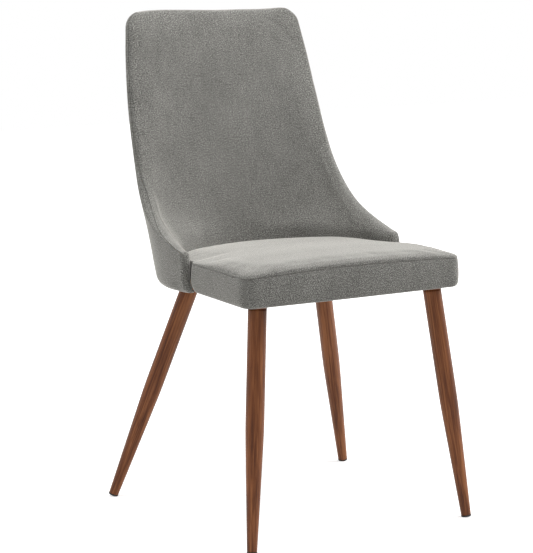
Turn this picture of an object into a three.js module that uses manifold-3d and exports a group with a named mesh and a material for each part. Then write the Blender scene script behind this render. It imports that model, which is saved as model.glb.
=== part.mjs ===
// Upholstered dining chair with a wrap-round back and four splayed round legs.
// Millimetres, +X to the right as seen from the front, +Y to the rear, +Z up.
// Left and right in the names are also as seen from the front.
import * as THREE from 'three';
import Module from 'manifold-3d';

const wasm = await Module();
wasm.setup();

// Heights
const overallHeight = 900;
const undersideHeight = 427;
const seatThickness = 49;
const seatFrontRise = 7;
const seatCrown = 8;
const seatEdgeRoll = 10;
const seatRearDrop = 5;

// Seat in plan: its sides start inside the wings' outer faces and flare to the front
const seatSideSetback = 13.5;
const seatFlare = 6.5;
const seatOverhang = 213;
const seatFrontBow = 3;
const seatCornerRadius = 20;

// Back in plan and in side view
const wingSpan = 420;
const backTopWidth = 348;
const shellDepth = 191;
const backRake = 107;
const topRimSetback = 14;
const wingHeight = 68;
const wingTipRadius = 10;
const topCornerRadius = 26;
const backThickness = 22;
const padThickness = 9;
const shellPlyThickness = 6;
const rimBandWidth = 8;
const bottomRoll = 14;
const shellDrop = 6;

// Base board and its cover
const boardThickness = 12;
const boardRecess = 4;
const coverSheetThickness = 1;
const fabricThickness = 2.6;

// Legs: where they meet the underside, and how far each foot stands out from there
const frontLegSideInset = 42.7;
const frontLegSetback = 37.7;
const rearLegSideInset = 49.3;
const rearLegSetback = 59.5;
const frontSplayOut = 45.1;
const frontSplayAhead = 55.4;
const rearSplayOut = 121.8;
const rearSplayBack = 104.2;
const legDiameter = 30;
const footDiameter = 18;
const legWall = 1.5;
const collarHeight = 6;
const collarDiameter = 39;
const plateReach = 52;
const plateMargin = 1.5;
const plateThickness = 3;
const glideThickness = 2.6;
const glidePlug = 12;
const glideFlat = 0.8;

// Fixings
const screwDiameter = 5;
const screwHeadDiameter = 10;
const screwHeadHeight = 2.4;
const legScrewLength = 12;
const shellScrewDiameter = 4;
const shellScrewHeadDiameter = 8;
const shellScrewLength = 26;
const shellScrewHeadDepth = 2;
const shellScrewSink = 1.2;

// Clearances between neighbouring pieces
const gap = 0.3;
const seatClearance = 0.9;
const bandClearance = 1.3;
const holeClearance = 0.3;

// Shares that shape the back: height share against value share
const spreadShares = [[0, 0.12], [0.148, 0], [0.366, 0.2], [0.662, 0.67], [1, 1]];
const squarenessShares = [[0, 2.9], [0.148, 3.9], [0.366, 4.9], [0.662, 5.2], [1, 4.7]];
const rimStartReachShare = 0.33;
const rimStartSlope = 16;
const rimEndReachShare = 0.77;
const rimEndSlope = 75.6;

// Derived heights
const seamHeight = undersideHeight + seatThickness;
const boardBottom = undersideHeight + boardRecess;
const boardTop = boardBottom + boardThickness;
const plyBottom = boardBottom + boardThickness * 0.2;
const plateTop = boardBottom - coverSheetThickness - gap * 2;
const plateBottom = plateTop - plateThickness;
const collarTop = plateBottom - gap;
const collarBottom = collarTop - collarHeight;
const legTopHeight = collarBottom - gap;
const wingTipHeight = undersideHeight + wingHeight;

// Derived seat widths
const seatWidthAtWings = wingSpan + (backThickness - seatSideSetback) * 2;
const seatFrontWidth = seatWidthAtWings + seatFlare * 2;

// Colours of the finishes
const fabricGrey = 0x8b8b87;
const fabricGreySide = 0x7f7f7b;
const walnutFilm = 0x6e4634;
const blackPlastic = 0x1b1b1b;
const birchPly = 0xc8a877;
const foamCream = 0xe6dcc0;
const blackFleece = 0x242424;
const zincSteel = 0xa9adb0;

const group = new THREE.Group();
group.name = 'parsons_chair';

function addPiece(name, geometry, color, roughness, metalness) {
  const material = new THREE.MeshStandardMaterial({ color, roughness, metalness });
  const mesh = new THREE.Mesh(geometry, material);
  mesh.name = name;
  group.add(mesh);
  return mesh;
}

// Interpolation through share pairs without overshoot
function throughShares(pairs, x) {
  const n = pairs.length;
  if (x <= pairs[0][0]) return pairs[0][1];
  if (x >= pairs[n - 1][0]) return pairs[n - 1][1];
  const h = [], d = [];
  for (let i = 0; i < n - 1; i++) {
    h.push(pairs[i + 1][0] - pairs[i][0]);
    d.push((pairs[i + 1][1] - pairs[i][1]) / h[i]);
  }
  const m = [d[0]];
  for (let i = 1; i < n - 1; i++) {
    const same = d[i - 1] * d[i] > 0;
    m.push(same ? (2 * d[i - 1] * d[i]) / (d[i - 1] + d[i]) : 0);
  }
  m.push(d[n - 2]);
  let k = 0;
  while (x > pairs[k + 1][0]) k++;
  const t = (x - pairs[k][0]) / h[k];
  const a = pairs[k][1], b = pairs[k + 1][1];
  return a * (1 + 2 * t) * (1 - t) ** 2 + m[k] * h[k] * t * (1 - t) ** 2
    + b * t * t * (3 - 2 * t) + m[k + 1] * h[k] * t * t * (t - 1);
}

// Closed solid from a list of points and triangles, turned outward if needed
function solidFrom(points, triangles) {
  let volume = 0;
  for (const [a, b, c] of triangles) {
    const [p, q, r] = [points[a], points[b], points[c]];
    volume += p[0] * (q[1] * r[2] - q[2] * r[1]) - p[1] * (q[0] * r[2] - q[2] * r[0])
      + p[2] * (q[0] * r[1] - q[1] * r[0]);
  }
  const index = [];
  for (const [a, b, c] of triangles) index.push(...(volume > 0 ? [a, b, c] : [a, c, b]));
  const geometry = new THREE.BufferGeometry();
  geometry.setAttribute('position', new THREE.Float32BufferAttribute(points.flat(), 3));
  geometry.setIndex(index);
  geometry.computeVertexNormals();
  return geometry;
}

// Loft through closed loops of equal length; ends are fanned, or joined into a ring
function loftLoops(loops, joined = false) {
  const n = loops[0].length;
  const points = loops.flat();
  const triangles = [];
  const spans = joined ? loops.length : loops.length - 1;
  for (let k = 0; k < spans; k++) {
    const a = k * n, b = ((k + 1) % loops.length) * n;
    for (let i = 0; i < n; i++) {
      const j = (i + 1) % n;
      triangles.push([a + i, a + j, b + j], [a + i, b + j, b + i]);
    }
  }
  if (!joined) {
    for (const [start, flip] of [[0, true], [(loops.length - 1) * n, false]]) {
      const centre = [0, 0, 0];
      for (let i = 0; i < n; i++) for (let c = 0; c < 3; c++) centre[c] += points[start + i][c] / n;
      points.push(centre);
      const m = points.length - 1;
      for (let i = 0; i < n; i++) {
        const j = (i + 1) % n;
        triangles.push(flip ? [m, start + j, start + i] : [m, start + i, start + j]);
      }
    }
  }
  return solidFrom(points, triangles);
}

// Solid between two grids of points with the same rows and columns
function gridSolid(front, rear) {
  const rows = front.length, cols = front[0].length;
  const points = [...front.flat(), ...rear.flat()];
  const half = rows * cols;
  const at = (r, c) => r * cols + c;
  const triangles = [];
  const quad = (a, b, c, d) => triangles.push([a, b, c], [a, c, d]);
  for (let r = 0; r < rows - 1; r++) {
    for (let c = 0; c < cols - 1; c++) {
      quad(at(r, c), at(r, c + 1), at(r + 1, c + 1), at(r + 1, c));
      quad(half + at(r, c), half + at(r + 1, c), half + at(r + 1, c + 1), half + at(r, c + 1));
    }
    quad(at(r, 0), at(r + 1, 0), half + at(r + 1, 0), half + at(r, 0));
    quad(at(r, cols - 1), half + at(r, cols - 1), half + at(r + 1, cols - 1), at(r + 1, cols - 1));
  }
  for (let c = 0; c < cols - 1; c++) {
    quad(at(0, c), half + at(0, c), half + at(0, c + 1), at(0, c + 1));
    quad(at(rows - 1, c), at(rows - 1, c + 1), half + at(rows - 1, c + 1), half + at(rows - 1, c));
  }
  return solidFrom(points, triangles);
}

function toManifold(geometry) {
  const mesh = new wasm.Mesh({
    numProp: 3,
    vertProperties: new Float32Array(geometry.attributes.position.array),
    triVerts: new Uint32Array(geometry.index.array),
  });
  return new wasm.Manifold(mesh);
}

function fromManifold(solid) {
  const mesh = solid.getMesh();
  const geometry = new THREE.BufferGeometry();
  const positions = [];
  for (let i = 0; i < mesh.numVert; i++) {
    for (let c = 0; c < 3; c++) positions.push(mesh.vertProperties[i * mesh.numProp + c]);
  }
  geometry.setAttribute('position', new THREE.Float32BufferAttribute(positions, 3));
  geometry.setIndex(Array.from(mesh.triVerts));
  geometry.computeVertexNormals();
  return geometry;
}

// Round body along a line: a list of end points, each with its radius
function turnedBody(stations, sides) {
  const first = new THREE.Vector3(...stations[0][0]);
  const axis = new THREE.Vector3(...stations[stations.length - 1][0]).sub(first).normalize();
  const turn = new THREE.Quaternion().setFromUnitVectors(new THREE.Vector3(0, 0, 1), axis);
  return loftLoops(stations.map(([centre, radius]) => {
    const loop = [];
    for (let i = 0; i < sides; i++) {
      const angle = (i / sides) * Math.PI * 2;
      const p = new THREE.Vector3(radius * Math.cos(angle), radius * Math.sin(angle), 0).applyQuaternion(turn);
      loop.push([p.x + centre[0], p.y + centre[1], p.z + centre[2]]);
    }
    return loop;
  }));
}

const rodBetween = (from, to, radius, sides) => toManifold(turnedBody([[from, radius], [to, radius]], sides));

// Screw: shank from its tip to the head, then a slightly domed head
function screwBody(tip, neck, crown, shankDiameter, headDiameter) {
  const shank = shankDiameter / 2, head = headDiameter / 2;
  return turnedBody([[tip, shank], [neck, shank], [neck, head], [crown, head * 0.8]], 12);
}

// Side view of the rim: upright wing front, small tip radius, then one long curve to the top
const rimTop = new THREE.Vector2(shellDepth + backRake - topRimSetback, overallHeight);
const rimSpan = rimTop.clone().sub(new THREE.Vector2(wingTipRadius * 0.6, wingTipHeight));
const rimCurve = (() => {
  const reach = rimSpan.length();
  const start = new THREE.Vector2(wingTipRadius * 0.6, wingTipHeight);
  const slopeA = THREE.MathUtils.degToRad(rimStartSlope), slopeB = THREE.MathUtils.degToRad(rimEndSlope);
  const lead = start.clone().add(new THREE.Vector2(Math.cos(slopeA), Math.sin(slopeA))
    .multiplyScalar(reach * rimStartReachShare));
  const tail = rimTop.clone().sub(new THREE.Vector2(Math.cos(slopeB), Math.sin(slopeB))
    .multiplyScalar(reach * rimEndReachShare));
  return new THREE.CubicBezierCurve(start, lead, tail, rimTop);
})();
const rimPoints = rimCurve.getPoints(160);

function rimDepth(z) {
  const roundStart = wingTipHeight - wingTipRadius;
  if (z <= roundStart) return 0;
  if (z <= wingTipHeight) {
    const rise = z - roundStart;
    return (wingTipRadius - Math.sqrt(Math.max(wingTipRadius ** 2 - rise ** 2, 0))) * 0.6;
  }
  if (z >= overallHeight) return rimTop.x;
  let k = 0;
  while (rimPoints[k + 1].y < z) k++;
  const a = rimPoints[k], b = rimPoints[k + 1];
  return a.x + (b.x - a.x) * ((z - a.y) / (b.y - a.y));
}

// Plan curve of the inner face at one height: a rounded rectangle of set squareness,
// followed from its rear middle to where the rim cuts it
const rowSteps = 48;
const cutShare = (depth, squareness) => (1 - depth ** squareness) ** (1 / squareness);
const rimTopShare = rimTop.x / (shellDepth + backRake);
const topSpread = backTopWidth / 2 / cutShare(rimTopShare, squarenessShares[squarenessShares.length - 1][1]);
function planShape(z) {
  const heightShare = (z - undersideHeight) / (overallHeight - undersideHeight);
  const rear = shellDepth + backRake * heightShare;
  const spread = wingSpan / 2 + (topSpread - wingSpan / 2) * throughShares(spreadShares, heightShare);
  return { rear, spread, n: throughShares(squarenessShares, heightShare) };
}

// Half width of the inner face at one height and depth
function innerHalfWidth(z, depth) {
  const { rear, spread, n } = planShape(z);
  return spread * cutShare(depth / rear, n);
}

function planPoints(z) {
  const { rear, spread, n } = planShape(z);
  const share = Math.min(rimDepth(z) / rear, 0.999);
  const end = Math.atan2(share ** (n / 2), Math.sqrt(1 - share ** n));
  const points = [];
  for (let i = 0; i <= rowSteps; i++) {
    const angle = Math.PI / 2 + (end - Math.PI / 2) * (i / rowSteps);
    points.push(new THREE.Vector2(spread * Math.abs(Math.cos(angle)) ** (2 / n) * (i ? 1 : 0),
      rear * Math.sin(angle) ** (2 / n)));
  }
  return points;
}

// Arc-length row of the plan curve, with the outward normal at each point
const rowCache = new Map();
function shellRow(z) {
  const key = z.toFixed(3);
  if (rowCache.has(key)) return rowCache.get(key);
  const points = planPoints(z);
  const normals = points.map((p, i) => {
    if (i === 0) return new THREE.Vector2(0, 1);
    const tangent = points[Math.min(i + 1, rowSteps)].clone().sub(points[i - 1]).normalize();
    return new THREE.Vector2(-tangent.y, tangent.x);
  });
  const lengths = [0];
  for (let i = 1; i <= rowSteps; i++) lengths.push(lengths[i - 1] + points[i].distanceTo(points[i - 1]));
  const full = lengths[rowSteps];
  const cut = Math.max(z - (overallHeight - topCornerRadius), 0);
  const trimmed = full - (topCornerRadius - Math.sqrt(Math.max(topCornerRadius ** 2 - cut ** 2, 0)));
  const row = { points, normals, lengths, reach: trimmed };
  rowCache.set(key, row);
  return row;
}

// Point on the back at height z, arc length s from the middle, and outward offset
function shellPoint(z, s, offset) {
  const row = shellRow(z);
  const span = Math.abs(s);
  let k = 0;
  while (k < rowSteps - 1 && row.lengths[k + 1] < span) k++;
  const t = (span - row.lengths[k]) / (row.lengths[k + 1] - row.lengths[k]);
  const p = row.points[k].clone().lerp(row.points[k + 1], t);
  const normal = row.normals[k].clone().lerp(row.normals[k + 1], t).normalize();
  const x = p.x + normal.x * offset;
  return [s < 0 ? -x : x, p.y + normal.y * offset, z];
}

// Reach of a panel that stays a set distance inside the rim
const rimSamples = [];
const rimSampleCount = 473;
for (let i = 0; i <= rimSampleCount; i++) {
  const z = undersideHeight + ((overallHeight - undersideHeight) * i) / rimSampleCount;
  rimSamples.push([z, shellRow(z).reach]);
}
function insetReach(z, inset) {
  let reach = Infinity;
  for (const [height, full] of rimSamples) {
    const rise = Math.abs(z - height);
    if (rise <= inset) reach = Math.min(reach, full - Math.sqrt(inset ** 2 - rise ** 2));
  }
  return reach;
}

// Outer face offset: full thickness, rolled in along the bottom edge
function outerOffset(z) {
  const rise = Math.min(Math.max(z - undersideHeight, 0), bottomRoll);
  const drop = bottomRoll - rise;
  return backThickness - (bottomRoll - Math.sqrt(Math.max(bottomRoll ** 2 - drop ** 2, 0)));
}

// Row heights: closer together where the rim turns
function backRows(from, to, count) {
  const tipLow = wingTipHeight - wingTipRadius, tipHigh = wingTipHeight + wingTipRadius * 5;
  const cornerLow = overallHeight - topCornerRadius;
  const weight = (z) => {
    if (z > tipLow - wingTipRadius * 0.4 && z < tipHigh) return 4;
    if (z > cornerLow) return 2.2;
    return 1;
  };
  const fine = [];
  let total = 0;
  const steps = 400;
  for (let i = 0; i < steps; i++) {
    const z = from + ((to - from) * (i + 0.5)) / steps;
    total += weight(z);
    fine.push(total);
  }
  const rows = [from];
  for (let r = 1; r < count; r++) {
    const target = (total * r) / count;
    const k = fine.findIndex((value) => value >= target);
    rows.push(from + ((to - from) * (k + 1)) / steps);
  }
  rows.push(to);
  return rows;
}

const backColumns = 20;
function backLayer(rows, inset, innerOffset, outerOffsetAt, dropAt = () => 0) {
  const columns = backColumns;
  const front = [], rear = [];
  for (const z of rows) {
    const reach = insetReach(z, inset);
    const a = [], b = [];
    for (let c = 0; c <= columns; c++) {
      const across = -1 + (2 * c) / columns;
      a.push(shellPoint(z, reach * across, innerOffset(z, across)));
      b.push(shellPoint(z, reach * across, outerOffsetAt(z, across)));
      const fall = dropAt(z, across);
      a[c][2] -= fall;
      b[c][2] -= fall;
    }
    front.push(a);
    rear.push(b);
  }
  return gridSolid(front, rear);
}

// Inside back: foam and cover on the sitter's side, softly crowned
const panelInset = rimBandWidth + bandClearance;
const plyInner = padThickness + gap;
const plyOuter = plyInner + shellPlyThickness;
const lowerPadHeight = boardTop + gap;
const insideCrown = 5;
function insideOffset(z, across) {
  const heightShare = (z - lowerPadHeight) / (overallHeight - panelInset - lowerPadHeight);
  const acrossShare = 1 - Math.abs(across) ** 4;
  const upShare = 1 - Math.abs(2 * Math.min(Math.max(heightShare, 0), 1) - 1) ** 6;
  return -insideCrown * acrossShare * upShare;
}

// All layers share these rows, so that neighbouring faces nest
const rearSeamHeight = seamHeight - seatRearDrop;
const padMiddle = (lowerPadHeight + rearSeamHeight) / 2;
const layerRows = [lowerPadHeight, padMiddle, ...backRows(rearSeamHeight, overallHeight - panelInset, 20)];

function addInsideBack() {
  addPiece('back_inside_pad', backLayer(layerRows, panelInset, insideOffset, () => padThickness),
    fabricGrey, 0.95, 0);
}

// Moulded plywood shell, screwed to the edge of the base board
const shellScrewShares = [-0.6, -0.3, 0, 0.3, 0.6];
const shellScrewHeight = (plyBottom + boardTop) / 2;
const headOuter = plyOuter - shellScrewSink, headInner = headOuter - shellScrewHeadDepth;
function shellScrewEnds(share, from, to) {
  const s = share * insetReach(shellScrewHeight, panelInset);
  return [shellPoint(shellScrewHeight, s, from), shellPoint(shellScrewHeight, s, to)];
}

function addShell() {
  let shell = toManifold(backLayer([plyBottom, ...layerRows], panelInset, () => plyInner, () => plyOuter));
  for (const share of shellScrewShares) {
    const [a, b] = shellScrewEnds(share, padThickness - shellPlyThickness, plyOuter + shellPlyThickness);
    shell = shell.subtract(rodBetween(a, b, shellScrewDiameter / 2 + holeClearance, 8));
    const [c, d] = shellScrewEnds(share, headInner - holeClearance, plyOuter + shellPlyThickness);
    shell = shell.subtract(rodBetween(c, d, shellScrewHeadDiameter / 2 + holeClearance, 10));
  }
  addPiece('back_plywood_shell', fromManifold(shell), birchPly, 0.6, 0);
}

function addShellScrews() {
  shellScrewShares.forEach((share, i) => {
    const [neck, crown] = shellScrewEnds(share, headInner, headOuter);
    const [tip] = shellScrewEnds(share, headOuter - shellScrewLength, headInner);
    addPiece(`shell_screw_${i + 1}`, screwBody(tip, neck, crown, shellScrewDiameter, shellScrewHeadDiameter),
      zincSteel, 0.35, 1);
  });
}

// Outside back: cover and thin wadding, turned under the base board along the bottom
const underTurnInset = 1;
function addOutsideBack() {
  const underBoard = boardBottom - gap, underPly = plyBottom - gap * 2.3;
  const ledge = [undersideHeight, undersideHeight + boardRecess * 0.35, underBoard, boardBottom - gap * 0.5,
    underPly, plyBottom - gap];
  const rows = [...ledge, ...layerRows];
  const inner = (z) => {
    if (z <= underBoard) return underTurnInset;
    return z <= underPly ? plyInner : plyOuter + gap;
  };
  const fall = (z, across) => {
    const share = Math.max(boardBottom - gap - z, 0) / (boardRecess - gap);
    return shellDrop * share * (1 - Math.abs(across) ** 10);
  };
  const outer = (z, across) => outerOffset(z - fall(z, across) + shellDrop * (1 - Math.abs(across) ** 10));
  const panel = backLayer(rows, panelInset, inner, outer, fall);
  addPiece('back_outside_panel', panel, fabricGreySide, 0.95, 0);
}

// Border band that follows the whole rim, wing tip to wing tip
function rimPath() {
  const path = [];
  const heights = backRows(undersideHeight, overallHeight, 32);
  for (const z of heights) path.push([z, shellRow(z).reach]);
  const topReach = shellRow(overallHeight).reach;
  const across = 10;
  for (let i = 1; i < across; i++) path.push([overallHeight, topReach * (1 - (2 * i) / across)]);
  for (const z of [...heights].reverse()) path.push([z, -shellRow(z).reach]);
  return path;
}

function addRimBand() {
  const path = rimPath();
  const edge = backThickness * 0.22;
  const loops = path.map(([z, s], i) => {
    const before = path[Math.max(i - 1, 0)], after = path[Math.min(i + 1, path.length - 1)];
    const along = new THREE.Vector2(after[1] - before[1], after[0] - before[0]).normalize();
    const inward = new THREE.Vector2(-along.y, along.x);
    const outer = outerOffset(z), width = rimBandWidth;
    const section = [[width, 0], [width, outer], [edge * 0.9, outer], [edge * 0.25, outer - edge * 0.3],
      [0, outer - edge], [0, edge], [edge * 0.25, edge * 0.3], [edge * 0.9, 0]];
    return section.map(([depth, offset]) => {
      const height = z + inward.y * depth;
      const reach = s + inward.x * depth;
      return shellPoint(Math.min(Math.max(height, undersideHeight), overallHeight), reach, offset);
    });
  });
  addPiece('back_border_band', loftLoops(loops), fabricGrey, 0.95, 0);
}

// Seat outline at one height: counter-clockwise, starting at the middle of the front
const seatSteps = { front: 6, corner: 5, side: 5, wrap: backColumns / 2 };
const stepLength = rimBandWidth;
function seatHalfOutline(z, wrapOffset) {
  const half = seatFrontWidth / 2, halfWing = seatWidthAtWings / 2;
  const r = seatCornerRadius;
  const taper = (half - halfWing) / seatOverhang;
  const points = [];
  const frontY = (x) => -seatOverhang + seatFrontBow * (x / half) ** 2;
  for (let i = 0; i <= seatSteps.front; i++) {
    const x = ((half - r) * i) / seatSteps.front;
    points.push([x, frontY(x)]);
  }
  const cornerY = frontY(half - r) + r;
  for (let i = 1; i <= seatSteps.corner; i++) {
    const angle = (Math.PI / 2) * (i / seatSteps.corner);
    points.push([half - r + r * Math.sin(angle), cornerY - r * Math.cos(angle)]);
  }
  const sideEnd = -stepLength;
  for (let i = 1; i <= seatSteps.side; i++) {
    const y = cornerY + ((sideEnd - cornerY) * i) / seatSteps.side;
    points.push([half - taper * (y - cornerY), y]);
  }
  const reach = insetReach(z, panelInset);
  const wrap = [];
  for (let i = 0; i <= seatSteps.wrap; i++) {
    const across = 1 - i / seatSteps.wrap;
    const p = shellPoint(z, reach * across, wrapOffset(z, across));
    wrap.push([p[0], p[1]]);
  }
  const outside = points[points.length - 1][0], inside = wrap[0][0];
  points.push([outside * 0.65 + inside * 0.35, sideEnd * 0.62]);
  points.push([outside * 0.2 + inside * 0.8, sideEnd * 0.42]);
  points.push([inside, sideEnd * 0.2]);
  return [...points, ...wrap];
}

function fullOutline(half) {
  const mirrored = half.slice(1, -1).reverse().map(([x, y]) => [-x, y]);
  return [...half, ...mirrored];
}

// Outline drawn in by a set amount along its own normals
function drawIn(outline, amount) {
  const n = outline.length;
  return outline.map((p, i) => {
    const a = outline[(i + n - 1) % n], b = outline[(i + 1) % n];
    const t = new THREE.Vector2(b[0] - a[0], b[1] - a[1]).normalize();
    return [p[0] - t.y * amount, p[1] + t.x * amount];
  });
}

const besidePad = (z, across) => insideOffset(Math.max(z, lowerPadHeight), across) - seatClearance;
const outlineAt = (z) => fullOutline(seatHalfOutline(z, besidePad));
const inWrap = (p) => p[1] > stepLength * -0.5;

// Height of the top seam around the outline
function seamAt(p) {
  const half = seatFrontWidth / 2;
  const frontShare = Math.min(Math.max(-p[1] / seatOverhang, 0), 1);
  const rearShare = Math.min(Math.max(p[1] / shellDepth, 0), 1);
  const rise = seatFrontRise * Math.max(1 - (p[0] / half) ** 2, 0) * frontShare ** 2;
  return seamHeight + rise - seatRearDrop * rearShare;
}

const seatCentre = [0, -seatOverhang * 0.12];
const seatCentreSeam = seamHeight + seatFrontRise * 0.35;
function seatTopLoop(outline, share, lower) {
  return outline.map((p) => {
    const x = seatCentre[0] + (p[0] - seatCentre[0]) * share;
    const y = seatCentre[1] + (p[1] - seatCentre[1]) * share;
    const base = seamAt(p) * share ** 2 + seatCentreSeam * (1 - share ** 2);
    const rise = seatEdgeRoll * (1 - share ** 18) + seatCrown * (1 - share ** 2);
    return [x, y, base + (lower ? Math.max(rise - lower, gap) : rise)];
  });
}
const seatTopShares = [0.98, 0.94, 0.87, 0.7, 0.4];

function addSeatTop() {
  const outline = outlineAt(rearSeamHeight);
  const inner = drawIn(outline, fabricThickness);
  const loops = [];
  for (const share of [...seatTopShares].reverse()) loops.push(seatTopLoop(inner, share, fabricThickness));
  loops.push(inner.map((p) => [p[0], p[1], seamAt(p) + gap]));
  loops.push(outline.map((p) => [p[0], p[1], seamAt(p) + gap]));
  loops.push(outline.map((p) => [p[0], p[1], seamAt(p) + fabricThickness * 0.6]));
  for (const share of seatTopShares) loops.push(seatTopLoop(outline, share, 0));
  addPiece('seat_top_panel', loftLoops(loops), fabricGrey, 0.95, 0);
}

function addSeatBoxing() {
  const bulge = 2;
  const low = outlineAt(lowerPadHeight), high = outlineAt(rearSeamHeight);
  const mid = outlineAt(padMiddle);
  const bottomOf = (p) => (inWrap(p) ? lowerPadHeight : undersideHeight);
  const midOf = (p) => (bottomOf(p) + seamHeight) / 2;
  const push = (outline) => drawIn(outline, -bulge).map((p, i) => (inWrap(outline[i]) ? outline[i] : p));
  const loops = [
    low.map((p) => [p[0], p[1], bottomOf(p)]),
    push(mid).map((p, i) => [p[0], p[1], midOf(low[i])]),
    high.map((p) => [p[0], p[1], seamAt(p)]),
    drawIn(high, fabricThickness).map((p, i) => [p[0], p[1], seamAt(high[i])]),
    drawIn(push(mid), fabricThickness).map((p, i) => [p[0], p[1], midOf(low[i])]),
    drawIn(low, fabricThickness).map((p, i) => [p[0], p[1], bottomOf(low[i])]),
  ];
  addPiece('seat_boxing_band', loftLoops(loops, true), fabricGreySide, 0.95, 0);
}

function addSeatFoam() {
  const bottom = boardTop + gap;
  const inset = fabricThickness + gap * 3;
  const low = drawIn(outlineAt(bottom), inset), mid = drawIn(outlineAt(padMiddle), inset);
  const high = drawIn(outlineAt(rearSeamHeight), inset);
  const loops = [
    low.map((p) => [p[0], p[1], bottom]),
    mid.map((p) => [p[0], p[1], padMiddle]),
    high.map((p) => [p[0], p[1], seamAt(p) - gap]),
  ];
  for (const share of seatTopShares) {
    loops.push(seatTopLoop(high, share, fabricThickness).map((p) => [p[0], p[1], p[2] - gap * 2]));
  }
  addPiece('seat_foam', loftLoops(loops), foamCream, 1, 0);
}

// Base board: inside the boxing at the front, out to the plywood shell at the rear
function boardOutline(z) {
  const inset = fabricThickness + gap;
  const half = seatHalfOutline(z, besidePad);
  const front = drawIn(fullOutline(half), inset).slice(0, half.length - seatSteps.wrap - 4);
  const notch = wingSpan / 2 - inset * 2;
  const reach = insetReach(z, panelInset);
  const points = [...front, [notch, -stepLength * 0.6], [notch, rimBandWidth]];
  for (let i = 0; i <= seatSteps.wrap; i++) {
    const p = shellPoint(z, reach * (1 - i / seatSteps.wrap), padThickness - gap * 2);
    points.push([p[0], p[1]]);
  }
  points[0][0] = 0;
  points[points.length - 1][0] = 0;
  return fullOutline(points);
}

// Leg stations: foot and top of each axis. The front legs are set in from the seat's
// edges, the rear legs from the inner face of the back
const legStations = [];
const frontTopX = seatFrontWidth / 2 - frontLegSideInset, frontTopY = frontLegSetback - seatOverhang;
const rearTopY = shellDepth - rearLegSetback;
const rearTopX = innerHalfWidth(undersideHeight, rearTopY) - rearLegSideInset;
for (const [end, topX, topY, out, along] of [
  ['front', frontTopX, frontTopY, frontSplayOut, -frontSplayAhead],
  ['rear', rearTopX, rearTopY, rearSplayOut, rearSplayBack]]) {
  for (const [name, side] of [['left', -1], ['right', 1]]) {
    legStations.push({
      label: `${end}_${name}`,
      foot: new THREE.Vector3(side * (topX + out), topY + along, 0),
      top: new THREE.Vector3(side * topX, topY, undersideHeight),
    });
  }
}

// Plate: its outer corner sits over the leg, its two arms reach inward
const plateOuter = collarDiameter / 2 + plateMargin;
const plateOutline = [[plateOuter, plateOuter * 0.4], [plateOuter * 0.4, plateOuter], [-plateReach, plateOuter],
  [-plateReach, plateOuter * 0.25], [plateOuter * 0.25, -plateReach], [plateOuter, -plateReach]];
function plateScrewCentres(station) {
  const arm = plateReach - screwHeadDiameter * 1.1, side = plateOuter * 0.6, corner = plateReach * 0.38;
  const sx = Math.sign(station.top.x), sy = Math.sign(station.top.y);
  return [[-arm, side], [side, -arm], [-corner, -corner]]
    .map(([a, b]) => [station.top.x + sx * a, station.top.y + sy * b]);
}

function drillPlateHoles(solid, from, to) {
  let drilled = solid;
  for (const station of legStations) {
    for (const [x, y] of plateScrewCentres(station)) {
      drilled = drilled.subtract(rodBetween([x, y, from], [x, y, to], screwDiameter / 2 + holeClearance, 10));
    }
  }
  return drilled;
}

function addBaseBoard() {
  const low = boardOutline(boardBottom), high = boardOutline(boardTop);
  let board = toManifold(loftLoops([
    low.map((p) => [p[0], p[1], boardBottom]),
    high.map((p) => [p[0], p[1], boardTop]),
  ]));
  board = drillPlateHoles(board, boardBottom - gap, boardTop + gap);
  for (const share of shellScrewShares) {
    const [a, b] = shellScrewEnds(share, headOuter - shellScrewLength - shellScrewDiameter, plyOuter);
    board = board.subtract(rodBetween(a, b, shellScrewDiameter / 2 + holeClearance, 8));
  }
  addPiece('seat_base_board', fromManifold(board), birchPly, 0.6, 0);
}

function addCoverSheet() {
  const outline = drawIn(outlineAt(undersideHeight + coverSheetThickness), fabricThickness * 2);
  const top = boardBottom - gap, bottom = top - coverSheetThickness;
  const sheet = toManifold(loftLoops([
    outline.map((p) => [p[0], p[1], bottom]),
    outline.map((p) => [p[0], p[1], top]),
  ]));
  addPiece('underside_cover_sheet', fromManifold(drillPlateHoles(sheet, bottom - gap, top + gap)), blackFleece, 0.9, 0);
}

function addLegPlate(station) {
  const sx = Math.sign(station.top.x), sy = Math.sign(station.top.y);
  const outline = plateOutline.map(([x, y]) => [station.top.x + sx * x, station.top.y + sy * y]);
  const plate = toManifold(loftLoops([
    outline.map((p) => [p[0], p[1], plateBottom]),
    outline.map((p) => [p[0], p[1], plateTop]),
  ]));
  let drilled = plate;
  for (const [x, y] of plateScrewCentres(station)) {
    const hole = rodBetween([x, y, plateBottom - gap], [x, y, plateTop + gap], screwDiameter / 2 + holeClearance, 10);
    drilled = drilled.subtract(hole);
  }
  addPiece(`leg_plate_${station.label}`, fromManifold(drilled), walnutFilm, 0.4, 0.2);
}

function addLegScrews(station) {
  plateScrewCentres(station).forEach(([x, y], i) => {
    const under = plateBottom - gap / 2;
    const screw = screwBody([x, y, plateTop + legScrewLength], [x, y, under], [x, y, under - screwHeadHeight],
      screwDiameter, screwHeadDiameter);
    addPiece(`leg_screw_${station.label}_${i + 1}`, screw, zincSteel, 0.35, 1);
  });
}

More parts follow.
